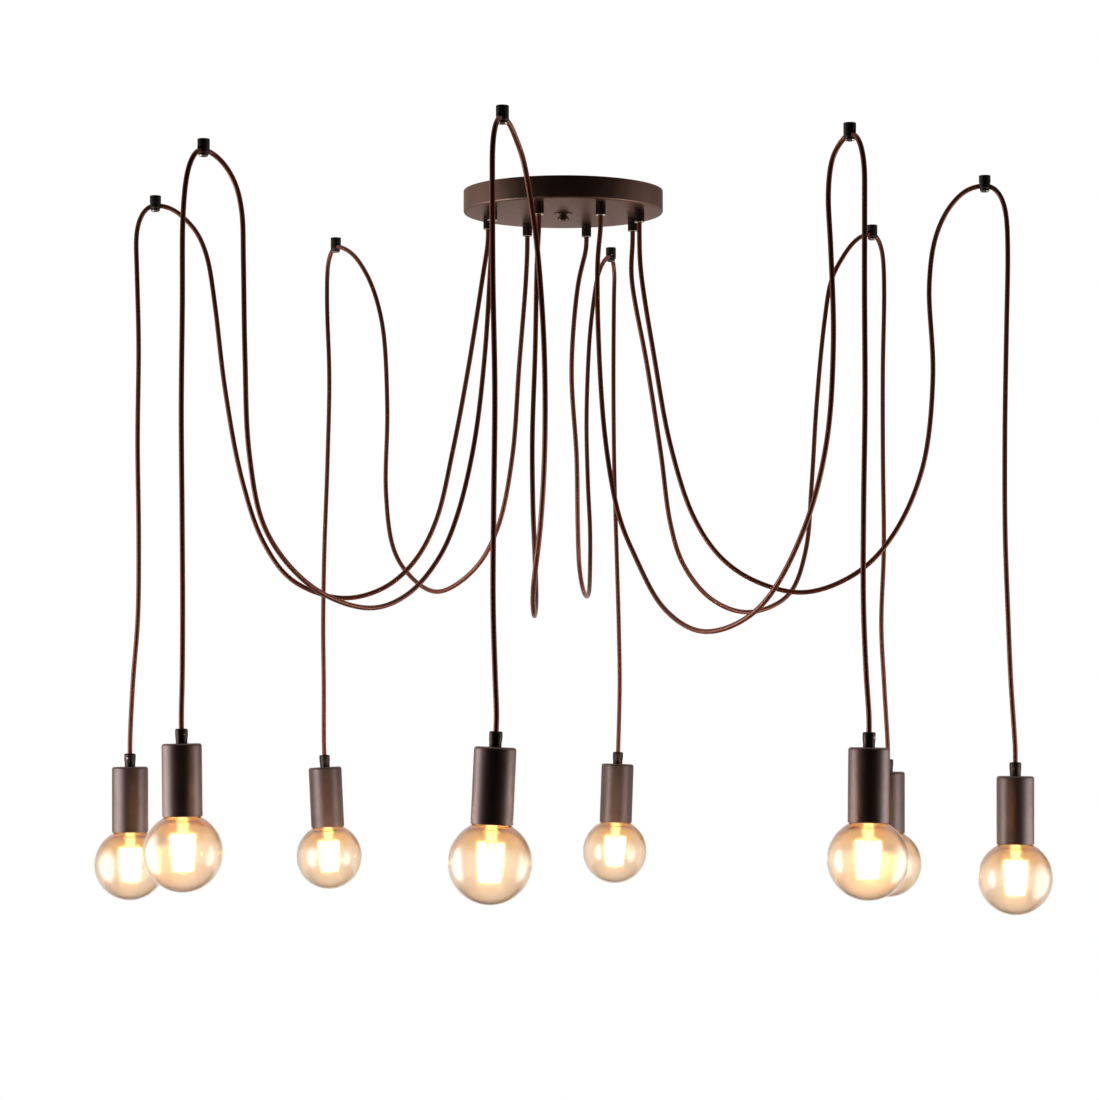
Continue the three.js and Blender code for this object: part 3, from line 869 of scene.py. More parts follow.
def evaluated(carrier: Object) -> Mesh:
    """Makes a plain mesh of what an object's modifiers make, and removes the object.

    Args:
        carrier: The object.

    Returns:
        The mesh.
    """
    bpy.context.view_layer.update()
    graph = bpy.context.evaluated_depsgraph_get()
    mesh = bpy.data.meshes.new_from_object(carrier.evaluated_get(graph))
    carrier.modifiers.clear()
    bpy.data.objects.remove(carrier)
    return mesh


def bored(body: BMesh | Mesh, cutter: BMesh, place: Matrix | None = None) -> Mesh:
    """Cuts a closed cutter out of a closed body.

    Args:
        body: The body.
        cutter: The cutter.
        place: Where the cutter goes, if not where it is.

    Returns:
        What is left of the body.
    """
    tool = carrier_of("cutter", to_mesh(cutter, place))
    work = carrier_of("body", to_mesh(body))
    modifier = work.modifiers.new("bore", "BOOLEAN")
    modifier.operation = "DIFFERENCE"
    modifier.solver = "EXACT"
    modifier.object = tool
    mesh = evaluated(work)
    bpy.data.objects.remove(tool)
    return mesh


class Pattern(Nodes):
    """A Geometry Nodes tree with named sizes, run once into a plain mesh."""

    def __init__(self, name: str) -> None:
        """Starts an empty tree.

        Args:
            name: What the tree makes.
        """
        super().__init__(bpy.data.node_groups.new(name, "GeometryNodeTree"))
        self.name = name
        self.tree.interface.new_socket("Geometry", in_out="OUTPUT", socket_type="NodeSocketGeometry")
        self.inlet = self.node("NodeGroupInput")
        self.values: dict[str, float | int] = {}
        self.result: NodeSocket | None = None

    def size(self, name: str, value: float | int) -> NodeSocket:
        """Adds a named input, and keeps its value for the run.

        Args:
            name: The input's name.
            value: Its value.

        Returns:
            Its socket in the tree.
        """
        kind = "NodeSocketInt" if isinstance(value, int) else "NodeSocketFloat"
        socket = self.tree.interface.new_socket(name, in_out="INPUT", socket_type=kind)
        self.values[socket.identifier] = value
        return self.inlet.outputs[name]

    def point(self, x: Any = 0.0, y: Any = 0.0, z: Any = 0.0) -> NodeSocket:
        """Joins three numbers or sockets into a point."""
        return self.add("ShaderNodeCombineXYZ", {0: x, 1: y, 2: z})

    def tube(self, line: NodeSocket, radius: NodeSocket, sides: int) -> NodeSocket:
        """Gives a line a round section.

        Args:
            line: The line.
            radius: Radius of the section.
            sides: Sides of the section.

        Returns:
            The tube, closed at its ends.
        """
        ring = self.add("GeometryNodeCurvePrimitiveCircle", {"Resolution": sides, "Radius": radius})
        inputs = {"Curve": line, "Profile Curve": ring, "Fill Caps": True}
        return self.add("GeometryNodeCurveToMesh", inputs)

    def around(self, shape: NodeSocket, count: NodeSocket) -> NodeSocket:
        """Copies a shape round the axis.

        Args:
            shape: The shape, set out from the axis.
            count: How many copies.

        Returns:
            The copies, as instances.
        """
        share = self.work("DIVIDE", self.add("GeometryNodeInputIndex"), count)
        angle = self.work("MULTIPLY", share, TURN)
        turn = self.add("FunctionNodeAxisAngleToRotation", {"Axis": (0.0, 0.0, 1.0), "Angle": angle})
        points = self.add("GeometryNodePoints", {"Count": count})
        inputs = {"Points": points, "Instance": shape, "Rotation": turn}
        return self.add("GeometryNodeInstanceOnPoints", inputs)

    def run(self, finish: Finish) -> Mesh:
        """Ends the tree and runs it.

        Args:
            finish: The finish of what it makes.

        Returns:
            Its result as a plain mesh.
        """
        real = self.add("GeometryNodeRealizeInstances", {0: self.result})
        coated = self.add("GeometryNodeSetMaterial", {"Geometry": real, "Material": finish.material()})
        self.node("NodeGroupOutput", {0: coated})
        carrier = carrier_of(self.name, bpy.data.meshes.new(self.name))
        modifier = carrier.modifiers.new(self.name, "NODES")
        modifier.node_group = self.tree
        for identifier, value in self.values.items():
            modifier[identifier] = value
        return evaluated(carrier)


def rods(name: str, count: int, start: Pair, end: Pair, radius: float, sides: int = 10) -> Pattern:
    """Sets rods round the axis between two rings, such as ribs or spokes.

    Args:
        name: What the rods are.
        count: How many there are.
        start: Radius and height of one ring.
        end: Radius and height of the other.
        radius: Radius of a rod.
        sides: Sides of a rod.

    Returns:
        The pattern.
    """
    pattern = Pattern(name)
    ends: Inputs = {}
    for which, ring in (("Start", start), ("End", end)):
        across, height = pattern.size(f"{which} Radius", ring[0]), pattern.size(f"{which} Height", ring[1])
        ends[which] = pattern.point(across, 0.0, height)
    line = pattern.add("GeometryNodeCurvePrimitiveLine", ends)
    rod = pattern.tube(line, pattern.size("Rod Radius", radius), sides)
    pattern.result = pattern.around(rod, pattern.size("Count", count))
    return pattern


def thread(radius: float, pitch: float, low: float, high: float, depth: float) -> Pattern:
    """Winds a screw thread as one rolled ridge round an axis.

    Args:
        radius: From the axis to the middle of the ridge.
        pitch: Height of one turn.
        low: Height at which it starts.
        high: Height at which it ends.
        depth: Radius of the ridge.

    Returns:
        The pattern.
    """
    pattern = Pattern("thread")
    across = pattern.size("Thread Radius", radius)
    inputs = {
        "Resolution": 24,
        "Rotations": pattern.size("Turns", (high - low) / pitch),
        "Start Radius": across,
        "End Radius": across,
        "Height": pattern.size("Length", high - low),
    }
    spiral = pattern.add("GeometryNodeCurveSpiral", inputs)
    ridge = pattern.tube(spiral, pattern.size("Depth", depth), 8)
    lift = pattern.point(0.0, 0.0, pattern.size("Low", low))
    pattern.result = pattern.add("GeometryNodeTransform", {"Geometry": ridge, "Translation": lift})
    return pattern


class Part:
    """A piece in the making, gathered from shapes that may differ in finish."""

    def __init__(self) -> None:
        """Starts an empty part."""
        self.gathered = bmesh.new()
        self.finishes: list[Finish] = []

    def add(self, shape: BMesh | Mesh | Pattern, finish: Finish, place: Matrix | None = None) -> Part:
        """Adds a shape.

        Args:
            shape: The shape, which is used up.
            finish: Its finish.
            place: Where it goes, if not where it is.

        Returns:
            This part, so that calls can follow each other.
        """
        mesh = to_mesh(shape.run(finish) if isinstance(shape, Pattern) else shape, place)
        if finish not in self.finishes:
            self.finishes.append(finish)
        known = len(self.gathered.faces)
        self.gathered.from_mesh(mesh)
        self.gathered.faces.ensure_lookup_table()
        for face in self.gathered.faces[known:]:
            face.material_index = self.finishes.index(finish)
            face.smooth = True
        bpy.data.meshes.remove(mesh)
        return self

    def mesh(self) -> Mesh:
        """Ends the part, with its sharp edges marked.

        Returns:
            The part as one mesh.
        """
        mesh = to_mesh(self.gathered)
        for finish in self.finishes:
            mesh.materials.append(finish.material())
        mesh.set_sharp_from_angle(angle=SHARP)
        return mesh


def stand(
    name: str, mesh: Mesh, body: str, slot: Slot | None = None, place: Matrix | None = None, *replaces: str
) -> None:
    """Stands a copy of a mesh in the scene as a finished piece.

    Args:
        name: The piece's name.
        mesh: The mesh, which is copied.
        body: The body that it rides on.
        slot: The record's slot that its main finish is in. It is not used.
        place: Where it goes, which is put into the copy.
        replaces: The frame's nodes that it stands for.
    """
    piece = carrier_of(name, to_mesh(mesh.copy(), place))
    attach(piece, body)
    if replaces:
        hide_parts(*replaces)
    LOG.info("%s rides on %s, %d faces", name, body, len(piece.data.polygons))


@dataclass(frozen=True)
class Site:
    """Where one pendant's pieces are, read from the frame."""

    number: int
    hook: Vector  # middle of the hook's bore
    facing: Vector  # along the bore, towards the lamp
    rim: Vector  # middle of the cup's rim
    up: Vector  # the lamp's axis
    gland: Vector  # foot of the gland
    gland_top: float

    @classmethod
    def read(cls, number: int, joints: dict[str, dict[str, Any]]) -> Site:
        """Reads a pendant's places from the frame's joints and its gland's box.

        Args:
            number: The pendant's number.
            joints: The frame's joints by name.

        Returns:
            The site.
        """
        swing, turn = joints[f"swing_{number}"], joints[f"bulb_turn_{number}"]
        low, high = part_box(f"canopy_gland_{number}")
        middle = (low + high) / 2
        gland = Vector((middle.x, middle.y, low.z))
        facing, down = (Vector(joint["axis"]).normalized() for joint in (swing, turn))
        return cls(number, Vector(swing["pos_m"]), facing, Vector(turn["pos_m"]), -down, gland, high.z)

    def hook_place(self) -> Matrix:
        """The hook's place: on the ceiling, turned to face its lamp."""
        turn = Matrix.Rotation(math.atan2(self.facing.y, self.facing.x), 4, "Z")
        return shifted(self.hook.x, self.hook.y) @ turn

    def lamp_place(self) -> Matrix:
        """The lamp's place: at the cup's rim, leaning as the cord hangs."""
        lean = Vector((0.0, 0.0, 1.0)).rotation_difference(self.up).to_matrix().to_4x4()
        return shifted(*self.rim) @ lean


@dataclass(frozen=True)
class Studio:
    """Camera, lamps and plain surroundings."""

    camera_place: Point = (-0.0154, -3.6197, -0.5846)
    camera_tilt: float = 2.865  # degrees above the horizon
    lens: float = 106.1
    floor_drop: float = 2.4
    floor_reach: float = 4.0
    floor_tone: Color = (0.8, 0.77, 0.75, 1.0)
    floor_glow: float = 0.5  # for the camera alone
    floor_fade: Pair = (0.4, 0.97)  # shares of its reach over which it fades to white
    box_out: float = 1.25  # from the middle to a soft box
    box_along: float = -0.25
    box_heights: Pair = (-0.85, -1.0)  # left and right
    box_size: Pair = (1.3, 1.7)
    box_powers: Pair = (19.5, 14.0)
    box_core: float = 0.42  # share of the box that is evenly bright
    glow_place: Point = (-0.05, -0.13, -0.95)  # between the front and the back lamps
    glow_size: Pair = (0.9, 0.35)
    glow_tint: Point = (1.0, 0.73, 0.51)
    glow_power: float = 1.7
    front_level: float = 0.012  # how bright the room is on the camera's side
    front_tint: Color = (1.0, 0.62, 0.42, 1.0)  # which the lit bulbs give it
    back_level: float = 0.8
    front_to_back: Pair = (-0.55, 0.35)
    top_level: float = 0.25
    top_rise: Pair = (0.1, 0.7)
    right_level: float = 0.3  # of a band above the lamps on the right
    right_reach: Pair = (0.0, 0.5)
    band_foot: Pair = (-0.05, 0.2)
    band_head: Pair = (0.55, 0.3)
    fill: float = 0.5  # how strongly the room lights dull surfaces

    def camera(self) -> None:
        """Sets up the camera."""
        data = bpy.data.cameras.new("camera")
        data.lens = self.lens
        data.clip_end = 50.0
        camera = bpy.data.objects.new("camera", data)
        camera.location = self.camera_place
        camera.rotation_euler = (math.radians(90 + self.camera_tilt), 0.0, 0.0)
        bpy.context.scene.collection.objects.link(camera)
        bpy.context.scene.camera = camera

    @staticmethod
    def lamp(name: str, place: Point, turn: float, size: Pair, power: float) -> Light:
        """Stands an oval lamp that faces level and is only seen by its light.

        Args:
            name: Its name.
            place: Where it stands.
            turn: How far it is turned from facing back.
            size: Its width and height.
            power: Its power in watts.

        Returns:
            The lamp's data.
        """
        data = bpy.data.lights.new(name, "AREA")
        data.shape = "ELLIPSE"
        data.size, data.size_y = size
        data.energy = power
        lamp = bpy.data.objects.new(name, data)
        lamp.location = place
        lamp.rotation_euler = (SQUARE, 0.0, turn)
        lamp.visible_camera = False
        lamp.visible_transmission = False
        bpy.context.scene.collection.objects.link(lamp)
        return data

    def soft_boxes(self) -> None:
        """Stands a soft box on each side, low down, and a warm glow as of the lit bulbs."""
        for side, height, power in zip((-1, 1), self.box_heights, self.box_powers):
            place = (side * self.box_out, self.box_along, height)
            name = "soft_box_left" if side < 0 else "soft_box_right"
            self.soften(self.lamp(name, place, side * SQUARE, self.box_size, power))
        self.lamp("bulb_glow", self.glow_place, 0.0, self.glow_size, self.glow_power).color = self.glow_tint

    def soften(self, data: Light) -> None:
        """Lets a soft box fade towards its edge.

        Args:
            data: The box's data.
        """
        data.use_nodes = True
        nodes = Nodes(data.node_tree)
        place = nodes.node("ShaderNodeNewGeometry").outputs["Parametric"]
        offset = nodes.add("ShaderNodeVectorMath", {0: place, 1: (0.5, 0.5, 0.0)}, operation="SUBTRACT")
        fade = nodes.ramp(nodes.length(offset), (self.box_core / 2, 0.5), (1.0, 0.0), smooth=True)
        light = nodes.add("ShaderNodeEmission", {"Strength": fade})
        nodes.node("ShaderNodeOutputLight", {"Surface": light})

    def room(self) -> None:
        """Makes the world: white behind the light, and dim on the camera's side."""
        world = bpy.data.worlds.new("room")
        bpy.context.scene.world = world
        world.use_nodes = True
        nodes = Nodes(world.node_tree)
        direction = nodes.node("ShaderNodeTexCoord").outputs["Generated"]
        axes = nodes.node("ShaderNodeSeparateXYZ", {0: direction}).outputs
        levels = (self.front_level, self.back_level)
        around = nodes.ramp(axes["Y"], self.front_to_back, levels, smooth=True)
        right = nodes.ramp(axes["X"], self.right_reach, (1.0, self.right_level))
        foot, head = (nodes.ramp(axes["Z"], reach) for reach in (self.band_foot, self.band_head))
        aside = nodes.mix(nodes.work("MULTIPLY", foot, head), 1.0, right)
        shown = nodes.work("MULTIPLY", around, aside)
        above = nodes.ramp(axes["Z"], self.top_rise, (1.0, self.top_level), smooth=True)
        dull = nodes.work("MULTIPLY", nodes.work("MULTIPLY", shown, above), self.fill)
        path = nodes.node("ShaderNodeLightPath").outputs
        strength = nodes.mix(path["Is Glossy Ray"], dull, shown)
        tint = nodes.dye(around, self.front_tint, WHITE)
        lit = nodes.add("ShaderNodeBackground", {"Color": tint, "Strength": strength})
        plain = nodes.add("ShaderNodeBackground", {"Color": WHITE, "Strength": 1.0})
        seen = nodes.work("MAXIMUM", path["Is Camera Ray"], path["Is Transmission Ray"])
        nodes.node("ShaderNodeOutputWorld", {"Surface": nodes.either(seen, lit, plain)})

    def floor(self) -> None:
        """Lays a pale round floor that fades into white and can't be seen from below."""
        shape = bmesh.new()
        bmesh.ops.create_circle(shape, cap_ends=True, segments=96, radius=self.floor_reach)
        mesh = to_mesh(shape, shifted(z=-self.floor_drop))
        material = bpy.data.materials.new("pale floor")
        material.use_nodes = True
        nodes = Nodes(material.node_tree)
        inputs = {0: nodes.place(), 1: (1.0, 1.0, 0.0)}
        away = nodes.length(nodes.add("ShaderNodeVectorMath", inputs, operation="MULTIPLY"))
        fade = nodes.ramp(away, tuple(self.floor_reach * share for share in self.floor_fade), smooth=True)
        seen = nodes.node("ShaderNodeLightPath").outputs["Is Camera Ray"]
        clear = nodes.add("ShaderNodeBsdfTransparent")
        beyond = nodes.either(seen, clear, nodes.add("ShaderNodeEmission", {"Strength": 1.0}))
        glow = nodes.add("ShaderNodeEmission", {"Strength": nodes.work("MULTIPLY", seen, self.floor_glow)})
        dull = nodes.add("ShaderNodeBsdfDiffuse", {"Color": self.floor_tone})
        pale = nodes.add("ShaderNodeAddShader", {0: dull, 1: glow})
        under = nodes.node("ShaderNodeNewGeometry").outputs["Backfacing"]
        sided = nodes.either(under, nodes.either(fade, pale, beyond), clear)
        nodes.node("ShaderNodeOutputMaterial", {"Surface": sided})
        mesh.materials.append(material)
        carrier_of("floor", mesh)

    def build(self) -> None:
        """Makes the surroundings and sets how colours are shown."""
        self.soft_boxes()
        self.room()
        self.floor()
        bpy.context.scene.view_settings.view_transform = "Standard"


@dataclass(frozen=True)
class Cord:
    """The round cord of one pendant, from inside the canopy to the grip of its lamp."""

    radius: float = 0.0027
    sides: int = 16
    spacing: float = 0.003
    tail: float = 0.006  # inside the canopy, above the gland
    lead: float = 0.012  # straight below the gland and above the lamp
    mouth: float = 0.006  # from the hook's axis to where its bore ends
    mouth_drop: float = 0.0008
    grip_top: float = 0.0882  # above the cup's rim
    grip_depth: float = 0.0087
    smoothing: int = 14
    core_radius: float = 0.00085
    core_gap: float = 0.00105
    core_length: float = 0.008
    strand_radius: float = 0.0005

    def points(self, site: Site, route: Route) -> list[Vector]:
        """Lists all points that a cord goes through, from the canopy to the lamp.

        Args:
            site: The pendant's site.
            route: The points of its cord's route.

        Returns:
            The points.
        """
        gland, hook, along = site.gland, site.hook, site.facing * self.mouth
        lower = Vector((0.0, 0.0, -self.mouth_drop))
        end = site.rim + site.up * self.grip_top
        return [
            Vector((gland.x, gland.y, site.gland_top + self.tail)),
            gland,
            gland - Vector((0.0, 0.0, self.lead)),
            *map(Vector, route.swag),
            hook - along + lower,
            hook,
            hook + along + lower,
            *map(Vector, route.drop),
            end + site.up * self.lead,
            end,
            end - site.up * self.grip_depth,
        ]

    def line(self, points: Sequence[Vector]) -> list[Vector]:
        """Draws a smooth line through points.

        Args:
            points: The points, from end to end.

        Returns:
            The line in close steps, with the small kinks between its stretches eased away.
        """
        ends = [2 * points[0] - points[1], *points, 2 * points[-1] - points[-2]]
        line = [points[0].copy()]
        for stretch in zip(ends, ends[1:], ends[2:], ends[3:]):
            gaps = [max((b - a).length, TOUCH) ** 0.5 for a, b in zip(stretch, stretch[1:])]
            leave, reach = (self.slope(stretch[k : k + 3], gaps[k : k + 2]) * gaps[1] for k in (0, 1))
            start, end = stretch[1:3]
            steps = math.ceil((end - start).length / self.spacing)
            for t in (step / steps for step in range(1, steps + 1)):
                near = start * (2 * t**3 - 3 * t**2 + 1) + leave * (t**3 - 2 * t**2 + t)
                line.append(near + end * (3 * t**2 - 2 * t**3) + reach * (t**3 - t**2))
        for _ in range(self.smoothing):
            middles = [(a + c) / 4 + b / 2 for a, b, c in zip(line, line[1:], line[2:])]
            line = [line[0], line[1], *middles[1:-1], line[-2], line[-1]]
        return line

    @staticmethod
    def slope(points: Sequence[Vector], gaps: Sequence[float]) -> Vector:
        """Finds the direction of the line at a point.

        Args:
            points: The point before, the point itself and the point after.
            gaps: The gaps between them.

        Returns:
            The direction.
        """
        before, here, after = points
        first, second = gaps
        return (here - before) / first - (after - before) / (first + second) + (after - here) / second

    def build(self, site: Site, route: Route, cores: Mesh) -> None:
        """Args:
            site: The pendant's site.
            route: The points of its cord's route.
            cores: The bared cores.
        """
        number = site.number
        line = self.line(self.points(site, route))
        length = sum((b - a).length for a, b in zip(line, line[1:]))
        mesh = Part().add(swept(line, self.radius, self.sides), JACKET).mesh()
        cord = carrier_of(f"cord_{number}", mesh)
        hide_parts(f"swag_cord_{number}", f"drop_cord_{number}")
        tuple(site.hook)
        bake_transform(cord)
        tuple(site.gland)
        [tuple(point) for point in line]
        LOG.info("cord_%d is %.3f m long", number, length)
        stand(f"cord_cores_{number}", cores, "ceiling", None, shifted(*line[0]))

    def cores(self) -> Mesh:
        """Makes the two bared cores at a cord's upper end.

        Returns:
            The cores.
        """
        part = Part()
        for side, finish in ((-1.0, BROWN_CORE), (1.0, BLUE_CORE)):
            foot = Vector((side * self.core_gap, 0.0, -self.core_length / 4))
            head = foot + Vector((side * self.core_gap, 0.0, self.core_length))
            tip = head + (head - foot).normalized() * self.core_length / 3
            part.add(swept([foot, head], self.core_radius, 10), finish)
            part.add(swept([head, tip], self.strand_radius, 8), COPPER)
        return part.mesh()


@dataclass(frozen=True)
class Canopy:
    """The dish on the ceiling with its bar, stud, finial, terminal block and glands."""

    wall: float = 0.0012
    edge: float = 0.0025
    rim_edge: float = 0.0004
    sides: int = 192
    stud_hole: float = 0.0033
    gland_hole: float = 0.0051
    through: float = 0.002  # by which a cutter stands out, at least
    washer_radius: float = 0.0105
    washer: float = 0.0007
    washer_edge: float = 0.45  # share of its thickness
    knob_radius: float = 0.0062
    knob_neck: float = 0.0042
    bar: float = 0.003
    slot_spacing: float = 0.08
    slot_length: float = 0.012
    slot_width: float = 0.005
    stud_radius: float = 0.0028
    stud_edge: float = 0.0005
    stud_pitch: float = 0.001
    stud_thread: float = 0.0003
    screw_head: float = 0.0044
    screw_head_height: float = 0.0026
    screw_seat: float = -0.0031
    screw_shank: float = 0.0021
    screw_turn: float = 0.5  # of the ceiling screws' crosses
    cross: Pair = (0.0042, 0.0008)  # length and width
    cross_depth: float = 0.0012
    poles: int = 3
    pole_drop: float = 0.003  # of the poles' collars below the block
    pole_screw: float = 0.0017
    barrel_radii: Pair = (0.0015, 0.0023)
    barrel_out: float = 0.0003
    gland_radius: float = 0.0055
    gland_waist: float = 0.0052
    gland_bore: float = 0.00305
    gland_ring: float = 0.0008
    gland_stem: float = 0.0048
    gland_edge: float = 0.0003
    gland_ribs: int = 22
    rib_radius: float = 0.0003
    nut_radius: float = 0.0075
    nut_height: float = 0.0032
    nut_edge: float = 0.0006
    fit: float = 0.0003

    def build(self, sites: Sequence[Site]) -> None:
        """Makes every piece of the canopy.

        Args:
            sites: The pendants' sites.
        """
        low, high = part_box("canopy_dish")
        self.shell(sites, high.x, low.z)
        self.finial()
        self.mounting()
        self.terminal_block()
        gland = self.gland(low.z, sites[0])
        for site in sites:
            place, node = shifted(site.gland.x, site.gland.y), f"canopy_gland_{site.number}"
            stand(f"cord_gland_{site.number}", gland, "ceiling", Slot.BLACK, place, node)

    def shell(self, sites: Sequence[Site], radius: float, floor: float) -> None:
        """Makes the spun dish with its holes.

        Args:
            sites: The pendants' sites.
            radius: The dish's radius.
            floor: Height of its underside.
        """
        hole, inside, top, rim = self.stud_hole, radius - self.wall, floor + self.wall, self.rim_edge
        outer = [(hole, floor), (radius, floor, self.edge), (radius, 0.0, rim)]
        inner = [(inside, 0.0, rim), (inside, top, self.edge - self.wall), (hole, top)]
        cutter = bmesh.new()
        for site in sites:
            plug = pin(self.gland_hole, -0.01, 0.01, 32)
            cutter.from_mesh(to_mesh(plug, shifted(site.gland.x, site.gland.y, floor)))
        dish = bored(lathe(outer + inner, self.sides, True, 8), cutter)
        mesh = Part().add(dish, SPUN_BRONZE).mesh()
        stand("canopy_shell", mesh, "ceiling", Slot.BRONZE, None, "canopy_dish")

    def finial(self) -> None:
        """Makes the nickel knob on its dark washer."""
        low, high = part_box("finial_nut")
        under, neck, full = high.z - self.washer, self.knob_neck, self.knob_radius
        radii = (self.stud_hole, self.washer_radius)
        washer = sleeve(radii, under, high.z, 64, self.washer * self.washer_edge)
        knob = [(0.0, under), (neck, under), (neck, under - 0.0014, 0.0006), (full, under - 0.003, 0.0012)]
        knob += [(full, low.z + 0.0012, 0.0011), (0.0, low.z)]
        part = Part().add(washer, SPUN_BRONZE).add(lathe(knob, 64), DARK_NICKEL)
        stand("finial_knob", part.mesh(), "ceiling", Slot.BLACK, None, "finial_nut")

    def mounting(self) -> None:
        """Makes the slotted bar, its threaded stud and the two ceiling screws."""
        low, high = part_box("mounting_bar")
        half, screw = (self.slot_length - self.slot_width) / 2, self.screw()
        slots, screws = bmesh.new(), Part()
        for side in (-1, 1):
            middle = side * self.slot_spacing / 2
            slot = strip(middle, half, self.slot_width / 2, -self.bar - self.through, self.through)
            slots.from_mesh(to_mesh(slot))
            turn = Matrix.Rotation(self.screw_turn * side, 4, "Z")
            screws.add(screw.copy(), ZINC, shifted(middle) @ turn)
        bar = bored(strip(0.0, high.x - high.y, high.y, -self.bar, 0.0), slots)
        stud = pin(self.stud_radius, low.z, -self.bar + 0.0001, 32, (self.stud_edge, 0.0))
        ridge = thread(self.stud_radius, self.stud_pitch, low.z + 0.001, -self.bar - 0.001, self.stud_thread)
        part = Part().add(bar, ZINC).add(stud, ZINC).add(ridge, ZINC)
        stand("mounting_strip", part.mesh(), "ceiling", Slot.ZINC, None, "mounting_bar")
        stand("ceiling_screws", screws.mesh(), "ceiling", Slot.ZINC)

    def screw(self) -> Mesh:
        """Makes the head of a ceiling screw, with its shank up to the ceiling.

        Returns:
            The screw.
        """
        head, seat, shank = self.screw_head, self.screw_seat, self.screw_shank
        foot = seat - self.screw_head_height
        corners = [(0.0, foot), (head * 0.7, foot, 0.0008), (head, foot + 0.0016, 0.0005)]
        corners += [(head, seat, 0.0002), (shank, seat), (shank, 0.0), (0.0, 0.0)]
        screw = lathe(corners, 48)
        for length, width in (self.cross, self.cross[::-1]):
            screw = bored(screw, slit(length, width, foot - 0.001, foot + self.cross_depth))
        return screw

    def terminal_block(self) -> None:
        """Makes the white terminal block with its brass barrels and screws."""
        low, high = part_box("terminal_block")
        foot, depth = low.z + self.pole_drop, high.y - low.y
        collar = [(0.0018, 0.0), (0.0018, -self.pole_drop), (0.0032, -self.pole_drop, 0.0006), (0.0034, 0.0)]
        part = Part().add(block((low.x, low.y, foot), high, 0.0007), NYLON)
        for pole in range(self.poles):
            x = low.x + (high.x - low.x) / self.poles * (pole + 0.5)
            for side in (-1, 1):
                place = shifted(x, side * depth / 4, foot)
                part.add(lathe(collar, 32, True), NYLON, place)
                part.add(pin(self.pole_screw, -0.0016, 0.001, 24, (0.0004, 0.0)), BRASS, place)
            lie = shifted(x, low.y - self.barrel_out, (foot + high.z) / 2) @ Matrix.Rotation(-SQUARE, 4, "X")
            part.add(sleeve(self.barrel_radii, 0.0, depth + 2 * self.barrel_out, 24), BRASS, lie)
        stand("terminal_body", part.mesh(), "ceiling", Slot.NYLON, None, "terminal_block")

    def gland(self, floor: float, site: Site) -> Mesh:
        """Makes a gland with its ribs, its pale ring and its nut inside the dish.

        Args:
            floor: Height of the dish's underside.
            site: A pendant's site.

        Returns:
            The gland.
        """
        bore, full, waist, edge = self.gland_bore, self.gland_radius, self.gland_waist, self.gland_edge
        foot, top, seat, stem = site.gland.z, site.gland_top, floor - self.fit, self.gland_stem
        lip, nut = foot + self.gland_ring, floor + self.wall + self.fit
        body = [(bore, lip), (full, lip, 0.0001), (full, lip + 0.0012, 0.0004), (waist, lip + 0.0018, 0.0004)]
        body += [(waist, seat - 0.0016, edge), (full, seat - 0.0014, edge), (full, seat, edge)]
        body += [(stem, seat), (stem, top, edge), (bore, top, edge)]
        snug = bore - 0.0001
        ring = [(snug, foot, 0.0002), (full - 0.0006, foot, 0.0002), (full, lip), (snug, lip)]
        ends = ((waist, lip + 0.0016), (waist, seat - 0.0016))
        part = Part().add(lathe(body, 64, True), COLLAR_BRONZE).add(lathe(ring, 64, True), NICKEL)
        part.add(rods("ribs", self.gland_ribs, *ends, self.rib_radius, 6), COLLAR_BRONZE)
        part.add(sleeve((stem, self.nut_radius), nut, nut + self.nut_height, 6, self.nut_edge, 3), ZINC)
        return part.mesh()


@dataclass(frozen=True)
class Hook:
    """A short ceiling cylinder with a cross bore, and a clamp screw from below."""

    radius: float = 0.0063
    height: float = 0.018
    waist: float = 0.0138  # how far down the cylinder goes before it narrows
    taper: float = 0.0012
    waist_edge: float = 0.0007
    foot_radius: float = 0.0051
    foot_edge: float = 0.0008  # of the bright ring under the foot
    bore_radius: float = 0.0031
    flare: float = 0.0008
    top_edge: float = 0.0006
    screw_radius: float = 0.0041
    screw_depth: float = 0.0004
    slit_width: float = 0.0008

    def mesh(self, bore_depth: float) -> Mesh:
        """Makes the hook with its bore along X, down from the ceiling.

        Args:
            bore_depth: From the ceiling to the middle of the bore.

        Returns:
            The hook.
        """
        full, foot, bore, head = self.radius, self.foot_radius, self.bore_radius, self.screw_radius
        neck, low, lip = -self.waist, -self.height, self.foot_edge - self.height
        body = [(0.0, 0.0), (full, 0.0, self.top_edge), (full, neck, self.waist_edge)]
        body += [(foot, neck - self.taper, self.waist_edge), (foot, lip), (0.0, lip)]
        reach, wide = full + 0.001, bore + self.flare * 1.6
        straight, fillet = full - self.flare * 1.2, self.flare * 2
        hole = [(0.0, -reach), (wide, -reach), (bore, -straight, fillet)]
        hole += [(bore, straight, fillet), (wide, reach), (0.0, reach)]
        ring = [(head, lip), (head, low, 0.0001), (foot - 0.0006, low, 0.0002), (foot, lip)]
        screw = pin(head, low + self.screw_depth, lip + 0.001, 32)
        place = shifted(z=-bore_depth) @ Matrix.Rotation(SQUARE, 4, "Y")
        part = Part().add(bored(lathe(body, 96), lathe(hole, 48), place), BLACK_BRONZE)
        part.add(lathe(ring, 64, True), NICKEL)
        part.add(bored(screw, slit(2 * full, self.slit_width, low - 0.001, low + 0.001)), BLACK_BRONZE)
        return part.mesh()


